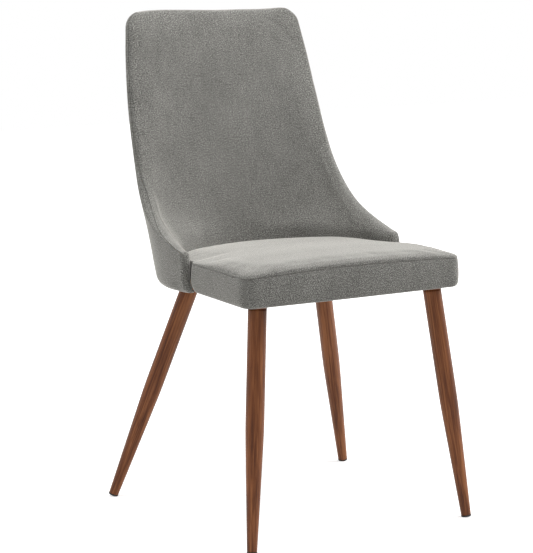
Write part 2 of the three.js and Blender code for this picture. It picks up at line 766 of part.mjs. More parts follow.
// Collar welded under the plate, hiding the cut end of the tube
function addCollar(station) {
  const r = collarDiameter / 2, low = (legDiameter / 2) * 1.12;
  const axis = station.top.clone().sub(station.foot);
  const at = (z) => station.foot.clone().addScaledVector(axis, z / undersideHeight);
  const ring = (radius, z) => {
    const centre = at(legTopHeight), loop = [];
    for (let i = 0; i < 24; i++) {
      const angle = (i / 24) * Math.PI * 2;
      loop.push([centre.x + radius * Math.cos(angle), centre.y + radius * Math.sin(angle), z]);
    }
    return loop;
  };
  const loops = [ring(low, collarBottom), ring(r, collarBottom + collarHeight * 0.55), ring(r, collarTop)];
  addPiece(`leg_collar_${station.label}`, loftLoops(loops), walnutFilm, 0.4, 0.2);
}

// Leg axis with its square-cut foot resting on the tilted glide
function legFrame(station) {
  const axis = station.top.clone().sub(station.foot).normalize();
  const glideRadius = footDiameter / 2 + gap;
  const tilt = Math.acos(axis.z);
  const lift = glideRadius * Math.sin(tilt) - glideFlat;
  const base = station.foot.clone().addScaledVector(axis, lift / axis.z);
  const turn = new THREE.Quaternion().setFromUnitVectors(new THREE.Vector3(0, 0, 1), axis);
  const side = new THREE.Vector3(1, 0, 0).applyQuaternion(turn);
  const across = new THREE.Vector3(0, 1, 0).applyQuaternion(turn);
  return { axis, base, side, across, glideRadius };
}

function axisLoop(frame, along, radius, sides, cutHeight) {
  const loop = [];
  for (let i = 0; i < sides; i++) {
    const angle = (i / sides) * Math.PI * 2;
    const p = frame.base.clone().addScaledVector(frame.axis, along)
      .addScaledVector(frame.side, radius * Math.cos(angle)).addScaledVector(frame.across, radius * Math.sin(angle));
    if (cutHeight !== undefined) p.addScaledVector(frame.axis, (cutHeight - p.z) / frame.axis.z);
    loop.push(p.toArray());
  }
  return loop;
}

function addLegTube(station) {
  const frame = legFrame(station);
  const foot = glideThickness + gap;
  const full = (legTopHeight - frame.base.z) / frame.axis.z;
  const mid = full * 0.5;
  const outerTop = legDiameter / 2, outerFoot = footDiameter / 2;
  const loops = [
    axisLoop(frame, foot, outerFoot, 24),
    axisLoop(frame, mid, outerTop, 24),
    axisLoop(frame, mid, outerTop, 24, legTopHeight),
    axisLoop(frame, mid, outerTop - legWall, 24, legTopHeight),
    axisLoop(frame, mid, outerTop - legWall, 24),
    axisLoop(frame, foot, outerFoot - legWall, 24),
  ];
  addPiece(`leg_tube_${station.label}`, loftLoops(loops, true), walnutFilm, 0.4, 0.2);
}

function addGlide(station) {
  const frame = legFrame(station);
  const plug = footDiameter / 2 - legWall - gap;
  const loops = [
    axisLoop(frame, 0, frame.glideRadius - gap * 2, 20),
    axisLoop(frame, gap * 2, frame.glideRadius, 20),
    axisLoop(frame, glideThickness, frame.glideRadius, 20),
    axisLoop(frame, glideThickness, plug, 20),
    axisLoop(frame, glideThickness + glidePlug, plug, 20),
  ];
  const glide = toManifold(loftLoops(loops)).trimByPlane([0, 0, 1], 0);
  addPiece(`glide_${station.label}`, fromManifold(glide), blackPlastic, 0.55, 0);
}

addInsideBack();
addShell();
addShellScrews();
addOutsideBack();
addRimBand();
addSeatTop();
addSeatBoxing();
addSeatFoam();
addBaseBoard();
addCoverSheet();
for (const station of legStations) {
  addLegPlate(station);
  addCollar(station);
  addLegTube(station);
  addGlide(station);
  addLegScrews(station);
}

// Centre the chair over the origin in plan
const box = new THREE.Box3().setFromObject(group);
const middle = box.getCenter(new THREE.Vector3());
group.traverse((mesh) => {
  if (mesh.isMesh) mesh.geometry.translate(-middle.x, -middle.y, 0);
});

export default group;
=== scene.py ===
import math

import bmesh
import bpy
import numpy as np
from mathutils import Matrix, Vector


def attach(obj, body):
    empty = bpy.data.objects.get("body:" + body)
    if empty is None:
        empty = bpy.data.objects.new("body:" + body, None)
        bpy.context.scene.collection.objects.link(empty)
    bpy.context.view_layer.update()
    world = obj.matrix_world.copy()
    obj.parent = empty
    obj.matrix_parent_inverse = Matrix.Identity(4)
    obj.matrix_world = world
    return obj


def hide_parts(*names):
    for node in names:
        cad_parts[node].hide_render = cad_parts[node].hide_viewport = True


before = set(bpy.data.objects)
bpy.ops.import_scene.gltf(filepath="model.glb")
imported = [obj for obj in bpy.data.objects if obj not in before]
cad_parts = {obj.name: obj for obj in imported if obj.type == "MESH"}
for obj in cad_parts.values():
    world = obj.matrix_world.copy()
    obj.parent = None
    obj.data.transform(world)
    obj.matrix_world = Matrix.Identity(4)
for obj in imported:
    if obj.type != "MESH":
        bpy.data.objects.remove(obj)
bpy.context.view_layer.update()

# ---------------------------------------------------------------- Camera
# Standing eye height, a little to the left of the chair's front, looking slightly down.
# The picture is 533 wide and 553 high, so the sensor's 36 mm lie along its height.
scene = bpy.context.scene
scene.view_settings.view_transform = "Standard"
picture_wide, picture_high, sensor_mm = 533, 553, 36
focal_pixels, view_centre = 2341.84, (293.611, 280.645)
camera_turn, camera_dip = 0.5494, 0.1742
camera_spot = Vector((-2.2062, -3.6399, 1.16745))
camera_data = bpy.data.cameras.new("camera")
camera_data.sensor_width = sensor_mm
camera_data.lens = focal_pixels * sensor_mm / picture_high
camera_data.shift_x = (picture_wide / 2 - view_centre[0]) / picture_high
camera_data.shift_y = (view_centre[1] - picture_high / 2) / picture_high
camera_data.clip_end = 50
camera = bpy.data.objects.new("camera", camera_data)
scene.collection.objects.link(camera)
scene.camera = camera
ahead = Vector((math.sin(camera_turn) * math.cos(camera_dip),
                math.cos(camera_turn) * math.cos(camera_dip), -math.sin(camera_dip)))
across_view = Vector((math.cos(camera_turn), -math.sin(camera_turn), 0))
up_view = across_view.cross(ahead)
turned = Matrix((across_view, up_view, -ahead)).transposed().to_4x4()
camera.matrix_world = Matrix.Translation(camera_spot) @ turned

# ---------------------------------------------------------------- Board and moulded shell
# The seat stands on a 12 mm birch plywood board, and the back on a moulded shell of the
# same plywood. Both are sawn and sanded, left raw, and hidden once the chair is covered.


def linear(code):
    """An sRGB hex value as the linear colour that a shader takes."""
    parts = [int(code[i:i + 2], 16) / 255 for i in (1, 3, 5)]
    return (*[p / 12.92 if p <= 0.04045 else ((p + 0.055) / 1.055) ** 2.4 for p in parts], 1)


def add_node(tree, kind, inputs=None, **settings):
    """Adds a node, sets its properties, and gives its sockets a value or a link."""
    made = tree.nodes.new(kind)
    for name, value in settings.items():
        setattr(made, name, value)
    for socket, value in (inputs or {}).items():
        if isinstance(value, bpy.types.NodeSocket):
            tree.links.new(value, made.inputs[socket])
        else:
            made.inputs[socket].default_value = value
    return made


def new_material(name):
    """An empty node material with its output node."""
    made = bpy.data.materials.new(name)
    made.use_nodes = True
    made.node_tree.nodes.clear()
    return made, made.node_tree, made.node_tree.nodes.new("ShaderNodeOutputMaterial")


def ramp(tree, factor, stops):
    """A colour ramp through stops of position and hex colour."""
    made = add_node(tree, "ShaderNodeValToRGB", {"Fac": factor})
    elements = made.color_ramp.elements
    while len(elements) < len(stops):
        elements.new(0.5)
    for element, (place, code) in zip(elements, stops):
        element.position = place
        element.color = linear(code)
    return made.outputs[0]


def object_spot(tree):
    """Places on the object, in metres."""
    return add_node(tree, "ShaderNodeTexCoord").outputs["Object"]


def noise(tree, vector, per_metre, detail=2.0, **more):
    """Noise with so many patches to the metre along each axis."""
    way = add_node(tree, "ShaderNodeMapping", {"Vector": vector, "Scale": per_metre})
    inputs = {"Vector": way.outputs[0], "Scale": 1, "Detail": detail, **more}
    return add_node(tree, "ShaderNodeTexNoise", inputs).outputs[0]


def remap(tree, value, low, high, start=0.0, end=1.0):
    """Values from start to end brought to the range from low to high."""
    inputs = {"Value": value, "From Min": start, "From Max": end, "To Min": low, "To Max": high}
    return add_node(tree, "ShaderNodeMapRange", inputs).outputs[0]


def bump(tree, height, strength, distance):
    """Relief from a height; distance is in metres."""
    inputs = {"Height": height, "Strength": strength, "Distance": distance}
    return add_node(tree, "ShaderNodeBump", inputs).outputs[0]


def surface(tree, out, inputs):
    """Ends a material with a principled shader."""
    shader = add_node(tree, "ShaderNodeBsdfPrincipled", inputs)
    tree.links.new(shader.outputs[0], out.inputs[0])


# Rotary-cut birch face, sanded: pale yellow brown, with a faint long grain about 4 mm wide
birch, tree, out = new_material("sanded_birch_plywood")
grain = noise(tree, object_spot(tree), (250, 18, 250), 4)
surface(tree, out, {
    "Base Color": ramp(tree, grain, [(0.3, "#B8976A"), (0.5, "#CDB083"), (0.7, "#D9C096")]),
    "Roughness": 0.62, "Normal": bump(tree, grain, 0.15, 0.0004)})


def dress(name, material):
    """Gives a carried-over solid its finish."""
    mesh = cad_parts[name].data
    mesh.materials.clear()
    mesh.materials.append(material)


dress("seat_base_board", birch)
dress("back_plywood_shell", birch)

# ---------------------------------------------------------------- Shell screws
# Five zinc-plated wood screws hold the shell to the edge of the board.
# Bright zinc: cool light grey, with fine tool marks that break up the shine.
zinc, tree, out = new_material("bright_zinc_plate")
marks = noise(tree, object_spot(tree), (900, 900, 900), 3)
surface(tree, out, {
    "Base Color": ramp(tree, marks, [(0.35, "#A9ACAF"), (0.65, "#C9CCCE")]),
    "Metallic": 1, "Roughness": remap(tree, marks, 0.28, 0.45)})
for number in range(1, 6):
    dress(f"shell_screw_{number}", zinc)

# ---------------------------------------------------------------- Inside back
# Foam and one large cover on the sitter's side. The cover runs over the whole rim, round
# both wing ends, and is sewn to the outside cover a few millimetres in on the outer face.
# Sizes in millimetres; depth is measured from the wing tips, heights from the floor.
wing_tip_y = -39.6317
underside, top_height = 427.0, 900.0
shell_depth, back_rake, top_rim_setback = 191.0, 107.0, 14.0
half_wing_span, half_top_width = 210.0, 174.0
tip_height, tip_radius, corner_radius = 495.0, 10.0, 26.0
tip_deep, tip_low, tip_rise = 14.0, 27.0, 2.0
back_thickness, pad_thickness, bottom_roll, back_drop = 22.0, 9.0, 14.0, 6.0
pad_bottom, rim_edge = 443.3, 16.0
spread_shares = [(0, 0.12), (0.148, 0), (0.366, 0.2), (0.662, 0.67), (1, 1)]
squareness_shares = [(0, 2.9), (0.148, 3.9), (0.366, 4.9), (0.662, 5.2), (1, 4.7)]


def through_shares(pairs, x):
    """A smooth curve through pairs that doesn't overshoot them."""
    if x <= pairs[0][0]:
        return pairs[0][1]
    if x >= pairs[-1][0]:
        return pairs[-1][1]
    h = [b[0] - a[0] for a, b in zip(pairs, pairs[1:])]
    d = [(b[1] - a[1]) / w for a, b, w in zip(pairs, pairs[1:], h)]
    m = [d[0]] + [2 * a * b / (a + b) if a * b > 0 else 0 for a, b in zip(d, d[1:])] + [d[-1]]
    k = max(i for i in range(len(h)) if x >= pairs[i][0])
    t = (x - pairs[k][0]) / h[k]
    a, b = pairs[k][1], pairs[k + 1][1]
    return (a * (1 + 2 * t) * (1 - t) ** 2 + m[k] * h[k] * t * (1 - t) ** 2
            + b * t * t * (3 - 2 * t) + m[k + 1] * h[k] * t * t * (t - 1))


def toward(degrees):
    """Unit step in the side view, so many degrees above the floor."""
    return np.array((math.cos(math.radians(degrees)), math.sin(math.radians(degrees))))


# The rim from the side: upright wing front, small tip radius, then one long curve to the top
rim_start = np.array((tip_radius * 0.6, tip_height))
rim_top = np.array((shell_depth + back_rake - top_rim_setback, top_height))
rim_reach = np.linalg.norm(rim_top - rim_start)
lead = rim_start + rim_reach * 0.33 * toward(16)
tail = rim_top - rim_reach * 0.77 * toward(75.6)
share = np.linspace(0, 1, 400)[:, None]
rim_curve = ((1 - share) ** 3 * rim_start + 3 * share * (1 - share) ** 2 * lead
             + 3 * share ** 2 * (1 - share) * tail + share ** 3 * rim_top)

# Table of the inner face: one row of arc-length steps for each millimetre of height. In plan it
# is a superellipse that runs on straight past the wing tips.
levels = np.arange(underside, top_height + 1)
arc_step, straight_run = 1.5, 90.0
arc_steps = np.arange(0, 480, arc_step)
top_square = squareness_shares[-1][1]
part_back = rim_top[0] / (shell_depth + back_rake)
top_spread = half_top_width / (1 - part_back ** top_square) ** (1 / top_square)
turn = np.linspace(np.pi / 2, 0, 1200)
plan_x, plan_y = [], []
for level in levels:
    part_up = (level - underside) / (top_height - underside)
    rear = shell_depth + back_rake * part_up
    spread = half_wing_span + (top_spread - half_wing_span) * through_shares(spread_shares, part_up)
    n = through_shares(squareness_shares, part_up)
    radius = ((np.abs(np.cos(turn)) / spread) ** n + (np.sin(turn) / rear) ** n) ** (-1 / n)
    x = np.append(radius * np.cos(turn), spread)
    y = np.append(radius * np.sin(turn), -straight_run)
    arc = np.concatenate([[0], np.cumsum(np.hypot(np.diff(x), np.diff(y)))])
    plan_x.append(np.interp(arc_steps, arc, x))
    plan_y.append(np.interp(arc_steps, arc, y))
plan_x, plan_y = np.array(plan_x), np.array(plan_y)
slope_x, slope_y = np.gradient(plan_x, axis=1), np.gradient(plan_y, axis=1)
slope_x[:, 0], slope_y[:, 0] = 1, 0
slope = np.maximum(np.hypot(slope_x, slope_y), 1e-9)
face_x, face_y = -slope_y / slope, slope_x / slope


def look_up(table, z, span):
    """A table's values at heights z and arc lengths span."""
    row = np.clip(z - underside, 0, len(levels) - 1.001)
    column = np.clip(span / arc_step, 0, len(arc_steps) - 1.001)
    r, c = row.astype(int), column.astype(int)
    fr, fc = row - r, column - c
    return ((table[r, c] * (1 - fc) + table[r, c + 1] * fc) * (1 - fr)
            + (table[r + 1, c] * (1 - fc) + table[r + 1, c + 1] * fc) * fr)


def shell_point(z, s, offset, drop=0.0):
    """Places on the back in metres: height z, arc length s from the middle, outward offset."""
    z, s, offset = np.broadcast_arrays(*(np.asarray(a, float) for a in (z, s, offset)))
    span = np.abs(s)
    nx, ny = look_up(face_x, z, span), look_up(face_y, z, span)
    long = np.hypot(nx, ny)
    x = (look_up(plan_x, z, span) + offset * nx / long) * np.where(s < 0, -1, 1)
    y = look_up(plan_y, z, span) + offset * ny / long + wing_tip_y
    return np.stack([x, y, z - drop], -1) * 0.001


def arc_at(z, depth):
    """Arc length from the middle to where the inner face has this depth."""
    row = min(int(z - underside), len(levels) - 2)
    part = z - underside - row
    low = np.interp(-depth, -plan_y[row], arc_steps)
    high = np.interp(-depth, -plan_y[row + 1], arc_steps)
    return low + (high - low) * part


# The rim as a line of arc length and height, from the right wing's foot to the middle of the top
line = [(0.0, z) for z in np.arange(underside, tip_height + tip_rise - tip_low, 1.0)]
line += [(tip_deep * (1 - math.cos(a)), tip_height + tip_rise - tip_low * (1 - math.sin(a)))
         for a in np.linspace(0, math.pi / 2, 41)]
line += [tuple(p) for p in rim_curve if p[0] > tip_deep + 1 and p[1] < top_height - corner_radius]
rim_line = [(arc_at(z, depth), z) for depth, z in line]
for angle in np.linspace(0, math.pi / 2, 31):
    z = top_height - corner_radius * (1 - math.sin(angle))
    depth = float(np.interp(z, rim_curve[:, 1], rim_curve[:, 0]))
    rim_line.append((arc_at(z, depth) - corner_radius * (1 - math.cos(angle)), z))
rim_line = np.array(rim_line)
corner_spot = len(rim_line) - 16
wing_foot, top_reach = float(rim_line[0, 0]), rim_line[-1][0]
rim_line = np.vstack([rim_line, [[s, top_height] for s in np.linspace(top_reach, 0, 60)[1:]]])
mirror = np.array((-1, 1))


def along(path):
    """Running length of a path."""
    return np.concatenate([[0], np.cumsum(np.hypot(*np.diff(path, axis=0).T))])


def nearest(points, path):
    """How far each point is from a path, and which of the path's points is nearest."""
    gap = np.sqrt(((points[:, None] - path[None]) ** 2).sum(-1))
    return gap.min(1), gap.argmin(1)


def inset_path(path, depth):
    """The path drawn in by depth, with the loops at tight turns taken out.
    Gives the drawn-in points and which points of the path they came from."""
    step = np.gradient(path, axis=0)
    step /= np.hypot(*step.T)[:, None]
    inner = path + np.stack([-step[:, 1], step[:, 0]], -1) * depth
    kept = np.where(nearest(inner, path)[0] > depth - 0.06)[0]
    return inner[kept], kept


def both_sides(half):
    """A line from the middle outwards, made whole from left to right."""
    return np.vstack([half[::-1] * mirror, half[1:]])


def pick(path, spots):
    """Points of a path at running lengths given as shares of the whole."""
    run = along(path)
    return np.stack([np.interp(spots * run[-1], run, path[:, k]) for k in (0, 1)], -1)


def graded(length, ends, middle, growth=0.14):
    """Shares along a length, close together at the ends and wider in between."""
    fine = np.linspace(0, length, 2000)
    spacing = np.minimum.reduce([ends[0] + growth * fine, ends[1] + growth * (length - fine),
                                 np.full_like(fine, middle)])
    count = np.cumsum(1 / spacing)
    count = (count - count[0]) / (count[-1] - count[0])
    number = int(round(length / np.mean(spacing) * 1.25))
    return np.interp(np.linspace(0, 1, number + 1), count, fine) / length


def rim_paths(path, corner_spot, foot):
    """The side and top of the rim, and the same drawn in, with matching samples.
    corner_spot is the middle of the top corner, foot the height to start from."""
    inner, kept = inset_path(path, rim_edge)
    jump = int(np.argmax(np.diff(kept[:corner_spot - 40])))
    tip = (kept[jump] + kept[jump + 1]) // 2
    start = int(np.searchsorted(path[:, 1], foot))
    corner = int(np.searchsorted(kept, corner_spot))
    tip_in = jump + 1
    corner_point = (inner[jump] + inner[jump + 1]) / 2
    front = graded(along(path[start:tip + 1])[-1], (4, 1.5), 5)
    side = graded(along(path[tip:corner_spot + 1])[-1], (1.5, 3), 8)
    top = graded(along(path[corner_spot:])[-1], (3, 8), 8)
    foot_in = int(np.searchsorted(inner[:tip_in, 1], path[start, 1]))
    foot_points = np.vstack([inner[foot_in:tip_in], corner_point])
    foot_points[0, 1] = path[start, 1]
    rim_side = np.vstack([pick(path[start:tip + 1], front), pick(path[tip:corner_spot + 1], side)[1:]])
    inner_side = np.vstack([pick(foot_points, front),
                            pick(np.vstack([corner_point, inner[tip_in:corner + 1]]), side)[1:]])
    rim_half, inner_half = pick(path[corner_spot:], top), pick(inner[corner:], top)
    return rim_side, inner_side, both_sides(rim_half[::-1]), both_sides(inner_half[::-1])


def fill_between(left, right, bottom, top):
    """Points of a four-sided patch, blended from its sides; first index runs left to right."""
    u = (along(bottom) / along(bottom)[-1])[:, None, None]
    v = (along(left) / along(left)[-1])[None, :, None]
    sides = (1 - u) * left[None] + u * right[None]
    ends = (1 - v) * bottom[:, None] + v * top[:, None]
    corners = ((1 - u) * (1 - v) * bottom[0] + u * (1 - v) * bottom[-1]
               + (1 - u) * v * top[0] + u * v * top[-1])
    return sides + ends - corners


def face_patch(paths, foot):
    """Points of a cover's face between the drawn-in rim and a level lower edge."""
    _, side, _, over = paths
    lower = np.stack([np.linspace(-side[0, 0], side[0, 0], len(over)), np.full(len(over), foot)], -1)
    return fill_between(side * mirror, side, lower, over)


def take_numbers(mesh, *names):
    """Takes whole-number layers off the mesh and gives their values as arrays."""
    values = []
    for name in names:
        layer = mesh.verts.layers.int[name]
        values.append(np.array([v[layer] for v in mesh.verts]))
        mesh.verts.layers.int.remove(layer)
    return values


def extrude_rings(mesh, edges, count):
    """Extrudes edges ring after ring, and numbers each ring's points."""
    ring = mesh.verts.layers.int["ring"]
    for number in range(1, count + 1):
        made = bmesh.ops.extrude_edge_only(mesh, edges=edges)["geom"]
        fresh = {g for g in made if isinstance(g, bmesh.types.BMVert)}
        for v in fresh:
            v[ring] = number
        edges = [g for g in made if isinstance(g, bmesh.types.BMEdge) and fresh.issuperset(g.verts)]


def cover_body(columns, rows, rings):
    """Mesh of a face, a rear face, and rings of faces from edge to edge between them,
    with the column, row and ring of each point."""
    mesh = bmesh.new()
    column, row, ring = (mesh.verts.layers.int.new(name) for name in ("column", "row", "ring"))
    bmesh.ops.create_grid(mesh, x_segments=columns, y_segments=rows, size=0.5)
    for v in mesh.verts:
        v[column], v[row] = round((v.co.x + 0.5) * columns), round((v.co.y + 0.5) * rows)
    everything = mesh.verts[:] + mesh.edges[:] + mesh.faces[:]
    for g in bmesh.ops.duplicate(mesh, geom=everything)["geom"]:
        if isinstance(g, bmesh.types.BMVert):
            g[ring] = rings
    extrude_rings(mesh, [e for e in mesh.edges if e.is_boundary and e.verts[0][ring] == 0], rings)
    return mesh, *take_numbers(mesh, "column", "row", "ring")


def by_points(part):
    """A number for an edge or a face that depends on nothing but its points."""
    spots = [v.index for v in part.verts]
    return (min(spots) * 1e5 + max(spots)) * 1e5 + sum(spots)


def sew_shut(mesh):
    """Joins points that meet and turns the faces outward. Edges and faces are then sorted,
    because the order that extruding leaves differs from run to run."""
    bmesh.ops.remove_doubles(mesh, verts=mesh.verts[:], dist=1e-6)
    bmesh.ops.recalc_face_normals(mesh, faces=mesh.faces[:])
    mesh.verts.index_update()
    for parts in (mesh.edges, mesh.faces):
        parts.sort(key=by_points)
    for face in mesh.faces:
        face.smooth = True


def finish_cover(name, mesh, places, cloth, held, material, slot, *nodes):
    """Puts the points in place, sews the edges shut, maps the weave and adds the piece.
    held says how firmly each point is fixed, from 0 to 1, when the cover is filled."""
    grip = mesh.verts.layers.deform.verify()
    on_cloth = mesh.verts.layers.float_vector.new("on_cloth")
    for v, place, (across, up), weight in zip(mesh.verts, places, cloth, held):
        v.co = place
        v[on_cloth] = (across * 0.001, up * 0.001, 0)
        v[grip][0] = weight
    sew_shut(mesh)
    weave = mesh.loops.layers.uv.new("weave")
    for face in mesh.faces:
        for loop in face.loops:
            loop[weave].uv = loop.vert[on_cloth].xy
    mesh.verts.layers.float_vector.remove(on_cloth)
    return add_piece(name, mesh, material, slot, *nodes)


def add_piece(name, mesh, material, slot, *nodes):
    """Makes the finished mesh a piece of the chair that stands for its solids."""
    data = bpy.data.meshes.new(name)
    mesh.to_mesh(data)
    mesh.free()
    data.materials.append(material)
    piece = bpy.data.objects.new(name, data)
    scene.collection.objects.link(piece)
    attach(piece, "root")
    if nodes:
        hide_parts(*nodes)
    return piece


cloth_frames = 20


def swell(piece, pressure, slack, most):
    """Fills a cover with air as cloth, its held points fixed. slack is the extra cloth as a
    share of its length, and most is the longest way in metres that a point may move."""
    held = piece.vertex_groups.new(name="held")
    mesh = piece.data
    rest = np.array([v.co for v in mesh.vertices])
    air = piece.modifiers.new("air", "CLOTH")
    air.settings.quality, air.settings.mass = 6, 0.3
    air.settings.tension_stiffness = air.settings.compression_stiffness = 15
    air.settings.shear_stiffness, air.settings.bending_stiffness = 5, 0.5
    air.settings.vertex_group_mass = held.name
    air.settings.use_pressure, air.settings.uniform_pressure_force = True, pressure
    air.settings.shrink_min = -slack
    air.settings.effector_weights.gravity = 0
    air.collision_settings.use_collision = False
    air.point_cache.frame_end = cloth_frames
    for number in range(1, cloth_frames + 1):
        scene.frame_set(number)
    filled = piece.evaluated_get(bpy.context.evaluated_depsgraph_get())
    moved = np.array([v.co for v in filled.data.vertices]) - rest
    far = np.maximum(np.linalg.norm(moved, axis=1), 1e-9)
    moved *= (most * np.tanh(far / most) / far)[:, None]
    piece.modifiers.remove(air)
    for v, place in zip(mesh.vertices, rest + moved):
        v.co = place
    scene.frame_set(1)
    piece.vertex_groups.clear()


def soften(piece):
    """One level of subdivision, the same in the view and the render."""
    made = piece.modifiers.new("soften", "SUBSURF")
    made.levels = made.render_levels = 1


# Chenille melange: dull mid grey and brushed; its colour is painted lighter where the surface is seen
# edge-on, a painted sheen.
# Its threads are under a millimetre; they are drawn two to three times as coarse to show.
grey_cloth, tree, out = new_material("grey_melange_chenille")
weave_map = add_node(tree, "ShaderNodeUVMap", uv_map="weave").outputs[0]


def cloth_noise(across_mm, up_mm, detail=2.0):
    """Noise on the cloth whose patches have these sizes in millimetres."""
    return noise(tree, weave_map, (1000 / across_mm, 1000 / up_mm, 1), detail, Roughness=0.55)


def weigh(value, amount, base):
    """Adds a share of one value to another."""
    inputs = {0: value, 1: amount, 2: base}
    return add_node(value.id_data, "ShaderNodeMath", inputs, operation="MULTIPLY_ADD").outputs[0]


yarn = weigh(cloth_noise(2.0, 1.2, 1.0), 1.7, weigh(cloth_noise(9, 2.2), 0.30, -0.50))
dark_threads = remap(tree, cloth_noise(30, 1.9, 1.0), 0, 1, 0.57, 0.70)
nap, clouds = cloth_noise(18, 46), cloth_noise(90, 90)
# Painted sheen: the base colour turns lighter the more edge-on the surface is seen
facing = add_node(tree, "ShaderNodeLayerWeight", {"Blend": 0.5}).outputs["Facing"]
painted_edge_sheen = add_node(tree, "ShaderNodeMath", {0: facing, 1: 6.0}, operation="POWER").outputs[0]
shade = weigh(clouds, 0.14, weigh(dark_threads, -0.09, weigh(yarn, 1.0, -0.115)))
# The cloth's random tone, plus the painted edge-on sheen
shade = weigh(painted_edge_sheen, 0.24, weigh(nap, 0.09, shade))
surface(tree, out, {
    "Base Color": ramp(tree, shade, [(0.26, "#504F4C"), (0.50, "#757470"), (0.98, "#C1C0BA")]),
    "Roughness": 0.95, "Sheen Weight": 1.0, "Sheen Roughness": 0.36,
    "Sheen Tint": linear("#F3F0EA"), "Specular IOR Level": 0.1,
    "Normal": bump(tree, weigh(dark_threads, -0.35, yarn), 0.5, 0.0003)})

edge_thickness = back_thickness + 2.0
wing_hang, wing_pull = 5.5, 9
inside_paths = rim_paths(rim_line, corner_spot, underside + 0.5)
rim_side, inner_side, rim_over, inner_over = inside_paths


def ease(x):
    """From 0 to 1 with level ends."""
    x = np.clip(x, 0, 1)
    return x ** 2 * (3 - 2 * x)


def outer_offset(z):
    """Outward offset of the outer face, rolled in along the bottom edge."""
    low = bottom_roll - np.clip(z - underside, 0, bottom_roll)
    return edge_thickness - (bottom_roll - np.sqrt(np.maximum(bottom_roll ** 2 - low ** 2, 0)))


def wing_drop(s, z):
    """How far the wing's foot hangs below the rest of the bottom edge."""
    return wing_hang * ease(1 - (wing_foot - np.abs(s)) / 60) * (1 - ease((z - underside) / 60))


def foot_tuck(s, z):
    """How far the wing's end is pulled in towards the seat at its foot."""
    low = np.clip(1 - (z - underside) / 38, 0, 1) ** 2
    return wing_pull * low * ease(1 - (wing_foot - np.abs(s)) / 45)


# The foam fills the shell's tight rear corners: inside, the plan is a rounder curve from the rim
# through the middle of the back. The table holds the fill's depth along the shell's normal.
fill_levels, fill_squareness = [427, 520, 640, 780, 900], [1.95, 1.95, 2.0, 2.2, 2.4]
rear_gap, rim_margin, deepest = 4.0, 6.0, 60.0
fill = np.zeros_like(plan_x)
for number, level in enumerate(levels):
    part_up = (level - underside) / (top_height - underside)
    rear = shell_depth + back_rake * part_up - rear_gap
    start = max(float(np.interp(level, rim_curve[:, 1], rim_curve[:, 0])) - rim_margin, 0)
    spread = float(np.interp(arc_at(level, start), arc_steps, plan_x[number]))
    n = np.interp(level, fill_levels, fill_squareness)
    near, far = np.zeros(len(arc_steps)), np.full(len(arc_steps), deepest)
    for _ in range(24):
        tried = (near + far) / 2
        x = np.maximum(plan_x[number] - tried * face_x[number], 0) / spread
        y = np.maximum(plan_y[number] - tried * face_y[number] - start, 0) / (rear - start)
        outside = x ** n + y ** n > 1
        near, far = np.where(outside, tried, near), np.where(outside, far, tried)
    fill[number] = near * np.clip((plan_y[number] - start - 2) / 20, 0, 1)
for _ in range(40):
    fill[1:-1] += (fill[2:] + fill[:-2] - 2 * fill[1:-1]) * 0.25
    fill[:, 1:-1] += (fill[:, 2:] + fill[:, :-2] - 2 * fill[:, 1:-1]) * 0.25


def crown(z, s, rim_gap=1e3):
    """Outward offset of the filled inside back from a plain shell, this far from the rim."""
    deep = look_up(fill, np.asarray(z, float), np.abs(s)) + 1e-3
    limit = rim_gap * 0.8 + 1e-3
    return -deep * limit / (deep ** 3 + limit ** 3) ** (1 / 3)


# Lower edge: under the wing ends it reaches the foot of the back, elsewhere it ends on the board
inside_patch = face_patch(inside_paths, underside + 0.5)
lift = ease((inner_side[0, 0] - np.abs(inside_patch[..., 0])) / 9)
low = np.clip(1 - (inside_patch[..., 1] - underside) / 50, 0, 1)
inside_patch[..., 1] += (pad_bottom - underside) * lift * low

# Over the rim the cover follows one profile: a broad roll from the inner face, a flat side
# face, a small round corner and the outer face. Places on it are told by q, millimetres of
# cloth past the edge between side face and corner.
edge_radius, roll_height, narrow_roll, full_roll = 4.5, 12.6, 20.0, 38.0
edge_start = edge_thickness - edge_radius
side_face = edge_start - roll_height


def past_tip(path):
    """Running length of the rim's side, counted from the wing's tip."""
    run = along(path)
    return run - run[int(np.argmax(path[:, 1] > tip_height - tip_radius * 0.5))]


def roll_width(path):
    """Width of the roll from the rim to the inner face: narrow on the wing's front, then broad."""
    return narrow_roll + (full_roll - narrow_roll) * ease((past_tip(path) - 180) / 140)


def rolled(depth, width):
    """Outward offset of the cover on its way over the rim."""
    share = np.clip(1 - depth / width, 0, 1)
    return roll_height * (1 - np.sqrt(1 - share ** 2))


def profile_at(q, below, width):
    """Depth and outward offset on the rim's profile, so far below its surface."""
    if q >= -side_face:
        angle = np.clip(q / edge_radius, 0, math.pi / 2)
        radius = edge_radius - below
        past = max(q - edge_radius * math.pi / 2, 0)
        return (edge_radius - radius * math.cos(angle) + past,
                edge_start + radius * math.sin(angle) + min(q, 0))
    turns = np.linspace(0, math.pi / 2, 60)
    steps = np.hypot(np.diff(width * (1 - np.cos(turns))), np.diff(roll_height * np.sin(turns)))
    turned = np.interp(-q - side_face, np.concatenate([[0], np.cumsum(steps)]), turns)
    away = np.array((-math.cos(turned) / width, -math.sin(turned) / roll_height))
    away /= np.hypot(*away)
    return (width * (1 - math.cos(turned)) - below * away[0],
            roll_height * (1 - math.sin(turned)) - below * away[1])


def edge_spot_of(depth, width):
    """The place q where the roll has this depth."""
    turns = np.linspace(0, math.acos(1 - depth / width), 60)
    steps = np.hypot(np.diff(width * np.cos(turns)), np.diff(roll_height * np.sin(turns)))
    return -side_face - steps.sum()


